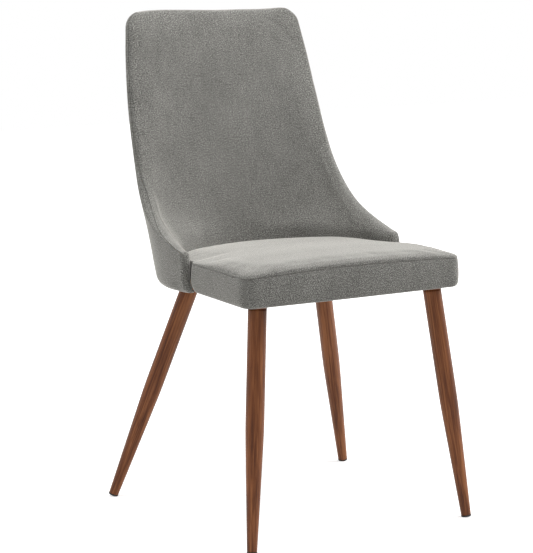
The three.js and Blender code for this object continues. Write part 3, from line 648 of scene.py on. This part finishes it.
# The seam between the two covers: near the outer corner, but well onto the side face where
# the wing begins to rise
seam_runs = [-60, -10, 5, 30, 62, 90, 112, 135, 155, 172, 192, 215, 260, 340, 430, 480]
seam_spots = [-1, 0, 3, 3, 1, -2, -6, -9.5, -11, -10, -5.5, -3.5, -2.5, -4, -5.5, -4.5]
seam_right = [-1, 0, 3, 4, 5, 5, 5, 5, 5, 5, 5, 5, 5, 5, 5, 5]


def seam_at(on_top, s, r, c, rim_side):
    """Where the seam is for each point; on the right it is just behind the outer corner."""
    run = past_tip(rim_side)[r]
    side = np.where(c == 0, np.interp(run, seam_runs, seam_spots), np.interp(run, seam_runs, seam_right))
    top = seam_spots[-1] + (seam_right[-1] - seam_spots[-1]) * np.clip(0.5 + s / top_reach / 2, 0, 1)
    return np.where(on_top, top, side)


def fullness(s, z):
    """How far the stuffed rim stands out past the shell's rim line."""
    left = np.interp(z, [494, 500, 515, 530, 560, 600, 650, 760, 830, 860, 885],
                     [0.4, -2.4, -3.2, -2.2, -1.2, -1.0, 0.0, 0.8, 2.8, 2.4, 2.4])
    right = np.interp(z, [494, 500, 515, 540, 560, 600, 650, 760, 815, 885],
                      [0.4, -2.4, -3.5, -4.2, -2.6, -0.9, 1.2, 1.8, 3.4, 3.4])
    top = np.interp(s / top_reach, [-1, -0.85, -0.65, -0.4, -0.15, 0.1, 0.5, 0.75, 0.95, 1],
                    [3.2, 5.0, 5.2, 4.0, 2.8, 1.4, 1.0, 0.4, 1.7, 2.4])
    return np.where(z > top_height - 1, top, np.where(s < 0, left, right))


# Rings: eight down the profile to the seam, then the seam's lip and the tuck behind it
roll_rings = 8
lip = [(-1.8, 0), (-0.9, 0.15), (-0.3, 0.9), (-0.02, 2.6)]
tuck = [(5, 14), (11, 10.5), (16, 9)]
rings = roll_rings + len(lip) + len(tuck) - 1


def inside_section(ring, seam, width):
    """Depth, offset and cloth used at a ring of the inside cover."""
    first = edge_spot_of(rim_edge, width)
    if ring < roll_rings:
        q = first + (seam + lip[0][0] * 1.3 - first) * ring / roll_rings
        return (*profile_at(q, 0, width), q - first)
    if ring < roll_rings + len(lip):
        q, below = lip[ring - roll_rings]
        return (*profile_at(seam + q, below, width), seam + q + below - first)
    bottom = profile_at(seam, lip[-1][1], width)[1]
    depth, high = tuck[ring - roll_rings - len(lip)]
    return depth, min(high, bottom - 0.4) if ring < rings else high, seam + 3 + depth - first


def cover_layout(patch, paths, rings, section_of):
    """Mesh of a cover of the back, and for its points: the ring, the spot on the back, the spot
    on the cloth, the section, the spot on the rim, and whether they are on the rim's rings."""
    rim_side, inner_side, rim_over, inner_over = paths
    columns, rows = len(rim_over) - 1, len(rim_side) - 1
    mesh, c, r, k = cover_body(columns, rows, rings)
    on_side, on_top = (c == 0) | (c == columns), (r == rows) & (c > 0) & (c < columns)
    on_ring = (on_side | on_top) & (k > 0)
    flip = np.where(c == 0, -1, 1)[:, None] ** np.array((1, 0))
    rim_spot = np.where(on_top[:, None], rim_over[c], rim_side[r] * flip)
    inner_spot = np.where(on_top[:, None], inner_over[c], inner_side[r] * flip)
    seam = seam_at(on_top, rim_spot[:, 0], r, c, rim_side)
    width = np.where(on_top, full_roll, roll_width(rim_side)[r])
    section = np.array([section_of(*values) for values in zip(k, seam, width)])
    depth = section[:, 0] - fullness(*rim_spot.T) * (1 - section[:, 0] / rim_edge)
    ring_spot = rim_spot + (inner_spot - rim_spot) * depth[:, None] / rim_edge
    outward = rim_spot - inner_spot
    outward /= np.maximum(np.hypot(*outward.T), 1e-6)[:, None]
    spot = np.where(on_ring[:, None], ring_spot, patch[c, r])
    cloth_spot = np.where(on_ring[:, None], inner_spot + outward * section[:, 2:], patch[c, r])
    return mesh, k, spot, cloth_spot, section, rim_spot, on_ring


mesh, k, spot, cloth_spot, section, rim_spot, on_ring = cover_layout(
    inside_patch, inside_paths, rings, inside_section)
# The face curves out towards the rim; behind it the cover lies on the shell's wadding
gap, closest = nearest(np.abs(spot), np.vstack([rim_side, rim_over[:0:-1]]))
widths = np.concatenate([roll_width(rim_side), np.full(len(rim_over) - 1, full_roll)])
face = crown(spot[:, 1], spot[:, 0], gap) + rolled(gap, widths[closest])
thin = outer_offset(rim_spot[:, 1]) / edge_thickness
ring_in = crown(spot[:, 1], spot[:, 0], np.maximum(section[:, 0], 0)) * (k < roll_rings)
offset = np.where(on_ring, section[:, 1] * thin + ring_in, pad_thickness * k / rings)
offset = np.where(k == 0, face, offset) - foot_tuck(*spot.T)
places = shell_point(spot[:, 1], spot[:, 0], offset, wing_drop(*spot.T))
held = np.minimum(0.25 * k, 1)
inside_back = finish_cover("inside_back_cover", mesh, places, cloth_spot, held, grey_cloth,
                           "grey_weave", "back_inside_pad", "back_border_band")
swell(inside_back, 2.0, 0.0005, 0.001)
soften(inside_back)

# ---------------------------------------------------------------- Outside back
# The same cloth over thin wadding, pulled over the shell from outside, turned under the
# board along the bottom and sewn to the inside cover along the rim.
roll_length = bottom_roll * math.pi / 2
foot_w = underside + bottom_roll - roll_length - 7
below_rim = [[wing_foot, w] for w in np.arange(foot_w, underside, 1.0)]
outside_paths = rim_paths(np.vstack([below_rim, rim_line]), corner_spot + len(below_rim), foot_w)
outside_patch = face_patch(outside_paths, foot_w)


def outside_point(s, w, inward):
    """Places on the outside cover: arc length s, height w unrolled, and how far below the face."""
    drop_share = 1 - np.abs(np.clip(s / wing_foot, -1, 1)) ** 10
    drop = (2 + back_drop * drop_share) * (1 - ease((w - underside - bottom_roll) / 70))
    drop += np.maximum(wing_drop(s, w) - 2, 0)
    angle = np.clip((underside + bottom_roll - w) / bottom_roll, 0, math.pi / 2)
    flat = np.clip(underside + bottom_roll - roll_length - w, 0, None)
    radius = bottom_roll - inward
    above = np.clip(w - underside - bottom_roll, 0, None)
    z = underside + bottom_roll - radius * np.sin(angle) + above
    slim = 1.6 * np.clip((500 - w) / 60, 0, 1)
    offset = edge_thickness - slim - bottom_roll + radius * np.cos(angle) - flat
    offset = offset - foot_tuck(s, np.maximum(w, underside))
    return shell_point(z, s, offset, drop)


# Rings: two on the face, eight round the corner to the seam, its lip and the tuck
face_spots = [edge_radius * (math.pi / 2 - 1) + rim_edge, 14.5]
round_rings = 8
lip = [(1.8, 0), (0.9, 0.15), (0.3, 0.9), (0.02, 2.6)]
tuck = [(5, 19), (10, 18), (16, 17.5)]
rings = 2 + round_rings + len(lip) + len(tuck) - 1


def outside_section(ring, seam, width):
    """Depth, offset and cloth used at a ring of the outside cover."""
    first = face_spots[0]
    if ring < 2 + round_rings:
        last = seam + lip[0][0] * 1.3
        q = face_spots[1] + (last - face_spots[1]) * max(ring - 1, 0) / round_rings
        q = first if ring == 0 else q
        return (*profile_at(q, 0, width), first - q)
    if ring < 2 + round_rings + len(lip):
        q, below = lip[ring - 2 - round_rings]
        return (*profile_at(seam + q, below, width), first - seam - q + below)
    depth, high = tuck[ring - 2 - round_rings - len(lip)]
    return depth, high, first - seam + 3 + depth


mesh, k, spot, cloth_spot, section, _, on_ring = cover_layout(
    outside_patch, outside_paths, rings, outside_section)
thick = 3 + 3 * np.clip((spot[:, 1] - foot_w) / 40, 0, 1)
on_rim_rings = (edge_thickness - section[:, 1]) * np.where(k > rings - 3, thick / 6, 1)
places = outside_point(*spot.T, np.where(on_ring, on_rim_rings, thick * k / rings))
held = np.ones(len(places))
outside_back = finish_cover("outside_back_cover", mesh, places, cloth_spot, held, grey_cloth,
                            "grey_weave", "back_outside_panel")
soften(outside_back)

# ---------------------------------------------------------------- Seat cushion
# Foam block with its top cover, crowned in the middle and rolled over towards the seam.
# It is tucked in between the wings and against the inside back.
seam_height, seat_front_rise, seat_rear_drop = 476.0, 7.0, 8.0
seat_crown, seat_edge_roll = 6.5, 10.0
seat_overhang, seat_front_bow, seat_corner = 213.0, 3.0, 20.0
half_front, half_rear, shoulder = 225.0, 218.5, 8.0
seat_roll_width, cushion_gap, seat_edge = 27.0, 9.3, 14.0
front_puff, side_sink, corner_sink, rear_sink, front_flat = 6.0, 3.0, 4.0, 4.5, 3.0


def seat_half(z):
    """Right half of the seat's outline from the middle of the front, in millimetres."""
    def front_y(x):
        return -seat_overhang + seat_front_bow * (x / half_front) ** 2
    points = [(x, front_y(x)) for x in np.linspace(0, half_front - seat_corner, 40)]
    corner_y = front_y(half_front - seat_corner) + seat_corner
    points += [(half_front - seat_corner * (1 - math.sin(a)), corner_y - seat_corner * math.cos(a))
               for a in np.linspace(0, math.pi / 2, 25)[1:]]
    taper = (half_front - half_rear) / seat_overhang
    points += [(half_front - taper * (y - corner_y), y)
               for y in np.linspace(corner_y, -shoulder - 3, 40)[1:]]
    reach = float(np.interp(z, rim_line[:corner_spot, 1], rim_line[:corner_spot, 0])) - cushion_gap
    wrap_arc = reach * np.linspace(1, 0, 130)
    wrap_in = crown(np.full(130, z), wrap_arc, reach - wrap_arc + cushion_gap)
    wrap = shell_point(z, wrap_arc, wrap_in - 0.9)[:, :2] * 1000 - (0, wing_tip_y)
    outside, inside = points[-1][0], wrap[0][0]
    points += [(outside, -shoulder), (outside - 1.2, -6.2), (outside * 0.65 + inside * 0.35, -5.0),
               (outside * 0.2 + inside * 0.8, -3.4), (inside, -1.6)]
    return np.vstack([points, wrap])


def on_chair(plan, height):
    """Places in metres from spots in plan behind the wing tips and heights."""
    return np.stack([plan[:, 0], plan[:, 1] + wing_tip_y, height], -1) * 0.001


def seat_seam(p):
    """Height of the seam along the outline."""
    front = np.clip(-p[:, 1] / seat_overhang, 0, 1)
    rear = np.clip(p[:, 1] / shell_depth, 0, 1)
    rise = seat_front_rise * np.maximum(1 - (p[:, 0] / half_front) ** 2, 0) * front ** 2
    return seam_height + rise - seat_rear_drop * rear


def heading(path):
    """Direction of a path at each of its points."""
    step = np.gradient(path, axis=0)
    return np.arctan2(step[:, 1], step[:, 0])


def whole_outline(half):
    """The closed outline of a mirror-symmetric plan, and its columns and rows as a patch."""
    turned = np.unwrap(heading(half))
    front_corner = int(np.argmax(turned > math.radians(45)))
    rear_corner = int(len(half) - 1 - np.argmax(turned[::-1] < math.radians(135)))
    front_half, rear_half = half[:front_corner + 1], half[rear_corner:]
    side_path = half[front_corner:rear_corner + 1]
    share = graded(along(front_half)[-1], (8, 3), 9)
    right = pick(side_path, graded(along(side_path)[-1], (3, 3), 7))
    front, rear = pick(front_half, share), pick(rear_half[::-1], share)
    front, rear = both_sides(front), both_sides(rear)
    closed = np.vstack([front, right[1:], rear[::-1][1:], (right * mirror)[::-1][1:-1]])
    return closed, len(front) - 1, len(right) - 1


def patch_in(closed, columns, rows):
    """The points inside a closed outline, as columns and rows."""
    front, right = closed[:columns + 1], closed[columns:columns + rows + 1]
    rear = closed[columns + rows:2 * columns + rows + 1][::-1]
    left = np.vstack([closed[2 * columns + rows:], closed[:1]])[::-1]
    return fill_between(left, right, front, rear)


half = seat_half(seam_height - seat_rear_drop)
outline, columns, rows = whole_outline(half)


def inward_of(path):
    """Unit steps into a closed path at each of its points."""
    step = np.roll(path, -1, 0) - np.roll(path, 1, 0)
    step /= np.hypot(*step.T)[:, None]
    return np.stack([-step[:, 1], step[:, 0]], -1)


def wide_inset(path, depth, smoothing):
    """A closed path drawn in by depth, smoothed so that its small shoulders disappear."""
    inner = path + inward_of(path) * depth
    for _ in range(smoothing):
        inner = inner * 0.5 + (np.roll(inner, -1, 0) + np.roll(inner, 1, 0)) * 0.25
    return inner


inset_outline = wide_inset(outline, seat_edge, 6)
seat_patch = patch_in(inset_outline, columns, rows)
seat_centre = np.array((0, -seat_overhang * 0.12))
fine_outline = np.vstack([half[:-1], (half * mirror)[::-1][:-1]])
bearing = np.arctan2(*(fine_outline - seat_centre).T)
order = np.argsort(bearing)
bearing, ray = bearing[order], np.hypot(*(fine_outline - seat_centre).T)[order]
bearing = np.concatenate([bearing - 2 * math.pi, bearing, bearing + 2 * math.pi])
ray = np.tile(ray, 3)


def seat_top_height(p):
    """Height of the seat's top surface over a point of the plan."""
    away = p - seat_centre
    toward = np.arctan2(*away.T)
    length = np.interp(toward, bearing, ray)
    out = np.clip(np.hypot(*away.T) / length, 0, 1)
    edge_spot = seat_centre + np.stack([np.sin(toward), np.cos(toward)], -1) * length[:, None]
    level = seat_seam(edge_spot) * out ** 2 + (seam_height + seat_front_rise * 0.35) * (1 - out ** 2)
    near = nearest(p, fine_outline)[0]
    roll = (1 - (1 - np.clip(near / seat_roll_width, 0, 1)) ** 2.3) ** (1 / 2.3)
    ahead_part = np.clip((20 - p[:, 1]) / 130, 0, 1)
    beside = np.clip((np.abs(p[:, 0]) - 150) / 50, 0, 1) * np.clip((p[:, 1] + 110) / 90, 0, 1)
    corner = np.clip((np.abs(p[:, 0]) - 160) / 60, 0, 1) * np.clip((-p[:, 1] - 140) / 70, 0, 1)
    rise = seat_edge_roll - 3 + front_puff * ease(ahead_part) - side_sink * beside - corner_sink * corner
    behind = np.clip((p[:, 1] - 10) / 150, 0, 1)
    crowned = (seat_crown - front_flat * ahead_part) * (1 - out ** 2)
    return level + rise * roll + crowned - rear_sink * behind ** 2


# Section of the cushion's edge: depth from the outline, and height above the seam where fixed
seat_section = np.array([
    (14, 0), (10, 0), (6.5, 0), (3.8, 0), (2.0, 0), (0.7, 0), (0.2, 2.2), (0.0, 1.1),
    (0.45, 0.35), (1.5, 0.05), (4.6, -1.5), (5.5, -12), (9, -30), (14, -31)])
loose_rings, rings = 6, len(seat_section) - 1
used = along(seat_section)
mesh, c, r, k = cover_body(columns, rows, rings)
around = np.where(r == 0, c, np.where(c == columns, columns + r, np.where(
    r == rows, 2 * columns + rows - c, 2 * columns + 2 * rows - r))) % len(outline)
on_edge = (c == 0) | (c == columns) | (r == 0) | (r == rows)
depth_share = (seat_section[k, 0] / seat_edge)[:, None]
edge_plan = outline[around] + (inset_outline[around] - outline[around]) * depth_share
plan = np.where((on_edge & (k > 0) & (k < rings))[:, None], edge_plan, seat_patch[c, r])
height = seat_seam(outline)[around] + seat_section[k, 1]
height = np.where(k < loose_rings, seat_top_height(plan), height)
height = np.where(k >= rings - 1, pad_bottom + np.where(k == rings, 0.7, 1.2), height)
places = on_chair(plan, height)
outward = outline[around] - inset_outline[around]
outward /= np.maximum(np.hypot(*outward.T), 1e-6)[:, None]
edge_cloth = inset_outline[around] + outward * used[k][:, None]
cloth_spot = np.where((on_edge & (k > 0))[:, None], edge_cloth, plan)
held = np.where(k < loose_rings, 0.04 * k ** 2, 1.0)
seat_cushion = finish_cover("seat_cushion", mesh, places, cloth_spot, held, grey_cloth, "grey_weave",
                            "seat_top_panel", "seat_foam")
swell(seat_cushion, 4, 0.001, 0.0015)
soften(seat_cushion)

# ---------------------------------------------------------------- Seat boxing
# A strip of the same cloth round the cushion's sides, sewn to the top cover, pulled under
# the board at the front and sides and stapled there.
boxing_count, boxing_tuck = 320, 4
closed = np.vstack([outline, outline[:1]])
boxing_shares = np.linspace(0, 1, boxing_count, endpoint=False)
boxing_line = pick(closed, boxing_shares)
seam_line, boxing_in = seat_seam(boxing_line), inward_of(boxing_line)
wrap_share = np.clip((boxing_line[:, 1] - 5) / 3, 0, 1)

# Section: depth, share of the way from the bottom to the seam, extra height in millimetres
boxing_section = np.array([
    (3.6, 1, -2.2), (1.6, 1, -0.05), (0.4, 1, -0.15), (-0.1, 1, -0.9), (-0.8, 1, -4.2),
    (-1.8, 0.75, 0), (-2.5, 0.5, 0), (-2.4, 0.25, 0), (-1.4, 0, 6), (0.2, 0, 2.8), (2.6, 0, 0.8),
    (5.5, 0, 0), (9.5, 0, 0.3), (11.5, 0, 1.2), (11.5, 0, 2.4), (6, 0, 3.2), (4.2, 0, 6), (3.6, 0.5, 0)])


def tube_body(count, rings):
    """Mesh of a strip round a circle, drawn out ring after ring, with each point's place
    round the circle and its ring."""
    mesh = bmesh.new()
    place, _ = (mesh.verts.layers.int.new(name) for name in ("place", "ring"))
    bmesh.ops.create_circle(mesh, segments=count, radius=1, cap_ends=False)
    for v in mesh.verts:
        v[place] = round(math.atan2(-v.co.x, v.co.y) / (2 * math.pi) * count) % count
    extrude_rings(mesh, mesh.edges[:], rings)
    return mesh, *take_numbers(mesh, "place", "ring")


mesh, a, k = tube_body(boxing_count, len(boxing_section))
used = np.concatenate([along(boxing_section[:, ::2] + boxing_section[:, 1:2] * (0, 49)), [200]])
k_in = k % len(boxing_section)
depth, part, extra = boxing_section[k_in].T
wrapped = wrap_share[a]
depth = np.where(depth < 0, depth * (1 - wrapped), depth)
depth = np.where(depth > 3.6, 3.6 + (depth - 3.6) * (1 - wrapped), depth)
bottom = underside - 2.6 + (pad_bottom + 1.5 - underside) * wrapped
height = bottom + (seam_line[a] - bottom) * part
height += np.where(part == 0, extra * (1 - 0.5 * wrapped), extra)
plan = boxing_line[a] + boxing_in[a] * depth[:, None]
tucked = boxing_tuck * np.exp(-((boxing_line[a, 1] + 9) / 8) ** 2) * np.clip(1 - part * 2.5, 0, 1) ** 2
plan[:, 0] -= np.sign(plan[:, 0]) * tucked
places = on_chair(plan, height)
cloth_spot = np.stack([boxing_shares[a] * along(closed)[-1], -used[k]], -1)
held = np.where((k_in >= 5) & (k_in <= 8), 0.0, 1.0)
seat_boxing = finish_cover("seat_boxing", mesh, places, cloth_spot, held, grey_cloth, "grey_weave",
                           "seat_boxing_band")
swell(seat_boxing, 3, 0.002, 0.0015)
soften(seat_boxing)

# ---------------------------------------------------------------- Underside cover
# Black polypropylene fleece stapled under the board; the leg plates are screwed over it.
# Spunbond fleece: dull black, with fine pressed dots about 1.5 mm apart.
fleece, tree, out = new_material("black_spunbond_fleece")
dots = add_node(tree, "ShaderNodeTexVoronoi", {"Vector": object_spot(tree), "Scale": 650})
dots = dots.outputs["Distance"]
surface(tree, out, {
    "Base Color": ramp(tree, dots, [(0.1, "#17171A"), (0.5, "#2C2C2F")]),
    "Roughness": 0.85, "Sheen Weight": 0.15, "Normal": bump(tree, dots, 0.4, 0.0004)})

leg_tops = {"front": (182.3, -175.3), "rear": (136.368, 131.5)}
sheet_level, sheet_thickness, sheet_inset, sheet_sag = 430.0, 0.5, 10.0, 2.0
plate_shift, plate_reach = 12, 62
wrap_arc = (wing_foot - cushion_gap) * np.linspace(1, 0, 90)
wrap = shell_point(underside + 3, wrap_arc, 11.0)[:, :2] * 1000 - (0, wing_tip_y)
sheet_outline, columns, rows = whole_outline(np.vstack([half[half[:, 1] < -shoulder - 4], wrap]))
sheet_outline = wide_inset(sheet_outline, sheet_inset, 5)
sheet_patch = patch_in(sheet_outline, columns, rows)
mesh, c, r, k = cover_body(columns, rows, 1)
plan = sheet_patch[c, r]
edge_gap = nearest(plan, sheet_outline)[0]
plates = np.array([(sign * (x - plate_shift), y - plate_shift * np.sign(y))
                   for x, y in leg_tops.values() for sign in (-1, 1)])
plate_gap = nearest(plan, plates)[0]
sag = sheet_sag * np.clip(edge_gap / 90, 0, 1) ** 0.8 * np.clip((plate_gap - plate_reach) / 60, 0, 1)
height = sheet_level - sag - sheet_thickness * k
places = on_chair(plan, height)
sheet_piece = finish_cover("underside_fleece", mesh, places, plan, np.zeros(len(plan)), fleece,
                           "black_fleece", "underside_cover_sheet")
sheet_piece.vertex_groups.clear()

# Galvanised staples, 12 mm wide, about 45 mm apart, a few millimetres in from the sheet's edge
closed = np.vstack([sheet_outline, sheet_outline[:1]])
length = along(closed)[-1]
staple_step, staple_inset, staple_size = 45, 5, (0.012, 0.0009, 0.0005)
staple_count = int(length / staple_step)
mesh = bmesh.new()
for number in range(staple_count):
    at = (number + 0.5) / staple_count
    here, there = pick(closed, np.array((at, at + 1 / length)))
    heading_to = math.atan2(*(there - here)[::-1])
    inward = np.array((-math.sin(heading_to), math.cos(heading_to))) * staple_inset
    centre = Vector((*(here + inward + (0, wing_tip_y)), sheet_level - sheet_thickness - 0.35))
    place = (Matrix.Translation(centre * 0.001) @ Matrix.Rotation(heading_to, 4, "Z")
             @ Matrix.Diagonal((*staple_size, 1)))
    bmesh.ops.create_cube(mesh, size=1, matrix=place)
bmesh.ops.bevel(mesh, geom=mesh.edges[:], offset=0.00012, segments=1, affect="EDGES",
                profile=0.5, material=-1)
staples = add_piece("sheet_staples", mesh, zinc, "zinc_steel")

# ---------------------------------------------------------------- Legs
# Round steel tubes, straight in the upper half and drawn down to the foot, wrapped in a
# printed walnut film; each is welded to a collar and a screwed plate. Black glides plug in.
leg_feet = {"front": (227.4, -230.7), "rear": (258.168, 235.7)}
leg_top_height, leg_sides, taper_round, foot_wear = 419.8, 40, 0.04, 0.8
film_radius, foot_radius, tube_wall, glide_thickness = 16.6, 9.0, 1.5, 2.6

# Walnut-print film under satin lacquer: red brown, with dark and light streaks along the
# leg, 1 to 4 mm wide and many centimetres long
walnut, tree, out = new_material("walnut_print_film")
leg_map = add_node(tree, "ShaderNodeAttribute", attribute_name="leg_line").outputs["Vector"]
streaks = noise(tree, leg_map, (400, 400, 11), 4, Roughness=0.62, Distortion=0.4)
streaks = weigh(streaks, 0.65, weigh(noise(tree, leg_map, (80, 80, 5)), 0.55, 0.0))
browns = [(0.36, "#2E170D"), (0.47, "#532C18"), (0.58, "#704023"), (0.74, "#955E39")]
surface(tree, out, {
    "Base Color": ramp(tree, streaks, browns),
    "Roughness": 0.45, "Specular IOR Level": 0.2, "Coat Weight": 0.05, "Coat Roughness": 0.2})

# Moulded polypropylene with a fine eroded surface: near black, dull
glide_black, tree, out = new_material("black_moulded_polypropylene")
mould = noise(tree, object_spot(tree), (1400, 1400, 1400))
surface(tree, out, {
    "Base Color": ramp(tree, mould, [(0.3, "#151515"), (0.7, "#232323")]),
    "Roughness": 0.55, "Normal": bump(tree, mould, 0.2, 0.0003)})

for end in ("front", "rear"):
    for side, sign in (("left", -1), ("right", 1)):
        top = Vector((sign * leg_tops[end][0], leg_tops[end][1] + wing_tip_y, underside))
        foot = Vector((sign * leg_feet[end][0], leg_feet[end][1] + wing_tip_y, 0))
        axis = (top - foot).normalized()
        glide_radius = foot_radius + 0.3
        lift_off = glide_radius * math.sin(math.acos(axis.z)) - foot_wear
        base = foot + axis * (lift_off / axis.z)
        full = (leg_top_height - base.z) / axis.z
        start = glide_thickness + 0.3
        mid = full * 0.5
        turn_to = Vector((0, 0, 1)).rotation_difference(axis).to_matrix()
        stations = [(start, foot_radius - 0.5), (start + 0.4, foot_radius - 0.05)]
        for t in np.linspace(start + 3, full + 4, 44):
            short = 1 - (t - start) / (mid - start)
            grow = 1 - taper_round * math.log1p(math.exp(short / taper_round))
            stations.append((t, foot_radius + (film_radius - foot_radius) * grow))
        inside = [(t, radius - tube_wall) for t, radius in reversed(stations[1:])]
        profile = np.array(stations + inside + stations[:1])
        mesh, a, k = tube_body(leg_sides, len(profile) - 1)
        angle, radius = 2 * math.pi * a / leg_sides, profile[k, 1]
        local = np.stack([-np.sin(angle) * radius, np.cos(angle) * radius, profile[k, 0]], -1)
        places = np.array(base) + local @ np.array(turn_to).T
        places -= np.maximum(places[:, 2:] - leg_top_height, 0) * np.array(axis) / axis.z
        shift = (0.37 * (1 + sign) + (0.91 if end == "front" else 0)) * np.array((1, 0.7, 0.3))
        line_layer = mesh.verts.layers.float_vector.new("leg_line")
        for v, place, on_leg in zip(mesh.verts, places * 0.001, local * 0.001 + shift):
            v.co, v[line_layer] = place, on_leg
        sew_shut(mesh)
        add_piece(f"leg_{end}_{side}", mesh, walnut, "walnut_grain_film", f"leg_tube_{end}_{side}")
        dress(f"leg_plate_{end}_{side}", walnut)
        dress(f"leg_collar_{end}_{side}", walnut)
        dress(f"glide_{end}_{side}", glide_black)
        for number in (1, 2, 3):
            dress(f"leg_screw_{end}_{side}_{number}", zinc)

# ---------------------------------------------------------------- Floor and lamps
# A flat pale studio floor under a white world, with large soft lamps above and beside.
floor_mesh = bmesh.new()
bmesh.ops.create_grid(floor_mesh, x_segments=1, y_segments=1, size=6)
floor_data = bpy.data.meshes.new("studio_floor")
floor_mesh.to_mesh(floor_data)
floor_mesh.free()
studio_floor = bpy.data.objects.new("studio_floor", floor_data)
scene.collection.objects.link(studio_floor)
pale, tree, out = new_material("pale_studio_paint")
paint = add_node(tree, "ShaderNodeBsdfDiffuse", {"Color": linear("#F2F2F1")})
away = add_node(tree, "ShaderNodeVectorMath", {0: object_spot(tree)}, operation="LENGTH")
level = remap(tree, away.outputs["Value"], 0.5, 0.95, 0.5, 2.2)
glow = add_node(tree, "ShaderNodeEmission", {"Color": (1, 1, 1, 1), "Strength": level})


def any_ray(tree, *kinds):
    """1 for rays of these kinds, otherwise 0."""
    ray, seen = add_node(tree, "ShaderNodeLightPath"), 0.0
    for kind in kinds:
        inputs = {0: ray.outputs[kind], 1: seen}
        seen = add_node(tree, "ShaderNodeMath", inputs, operation="MAXIMUM").outputs[0]
    return seen


seen = any_ray(tree, "Is Camera Ray", "Is Glossy Ray", "Is Transmission Ray")
none = add_node(tree, "ShaderNodeEmission", {"Strength": 0})
lit = add_node(tree, "ShaderNodeMixShader", {0: seen, 1: none.outputs[0], 2: glow.outputs[0]})
both = add_node(tree, "ShaderNodeAddShader", {0: paint.outputs[0], 1: lit.outputs[0]})
tree.links.new(both.outputs[0], out.inputs[0])
floor_data.materials.append(pale)

world = bpy.data.worlds.new("studio")
scene.world = world
world.use_nodes = True
tree = world.node_tree
tree.nodes.clear()
out = tree.nodes.new("ShaderNodeOutputWorld")
seen = any_ray(tree, "Is Camera Ray", "Is Glossy Ray")
level = remap(tree, seen, 0.33, 1.0)
sky = add_node(tree, "ShaderNodeBackground", {"Color": (1, 1, 1, 1), "Strength": level})
tree.links.new(sky.outputs[0], out.inputs[0])

for name, place, aim, size, power in [
        ("lamp_above", (-0.1, -0.3, 2.7), (0, 0, 0.45), 2.0, 36),
        ("lamp_right", (2.4, -0.7, 1.7), (0, 0, 0.55), 1.5, 56),
        ("lamp_low_right", (2.6, 0.2, 0.9), (0, 0, 0.55), 1.2, 8),
        ("lamp_behind_left", (-2.0, 1.2, 1.8), (0, 0, 0.55), 1.5, 22)]:
    lamp_data = bpy.data.lights.new(name, "AREA")
    lamp_data.shape, lamp_data.size, lamp_data.energy = "DISK", size, power
    lamp = bpy.data.objects.new(name, lamp_data)
    lamp.location = place
    lamp.rotation_euler = (Vector(aim) - Vector(place)).to_track_quat("-Z", "Y").to_euler()
    scene.collection.objects.link(lamp)
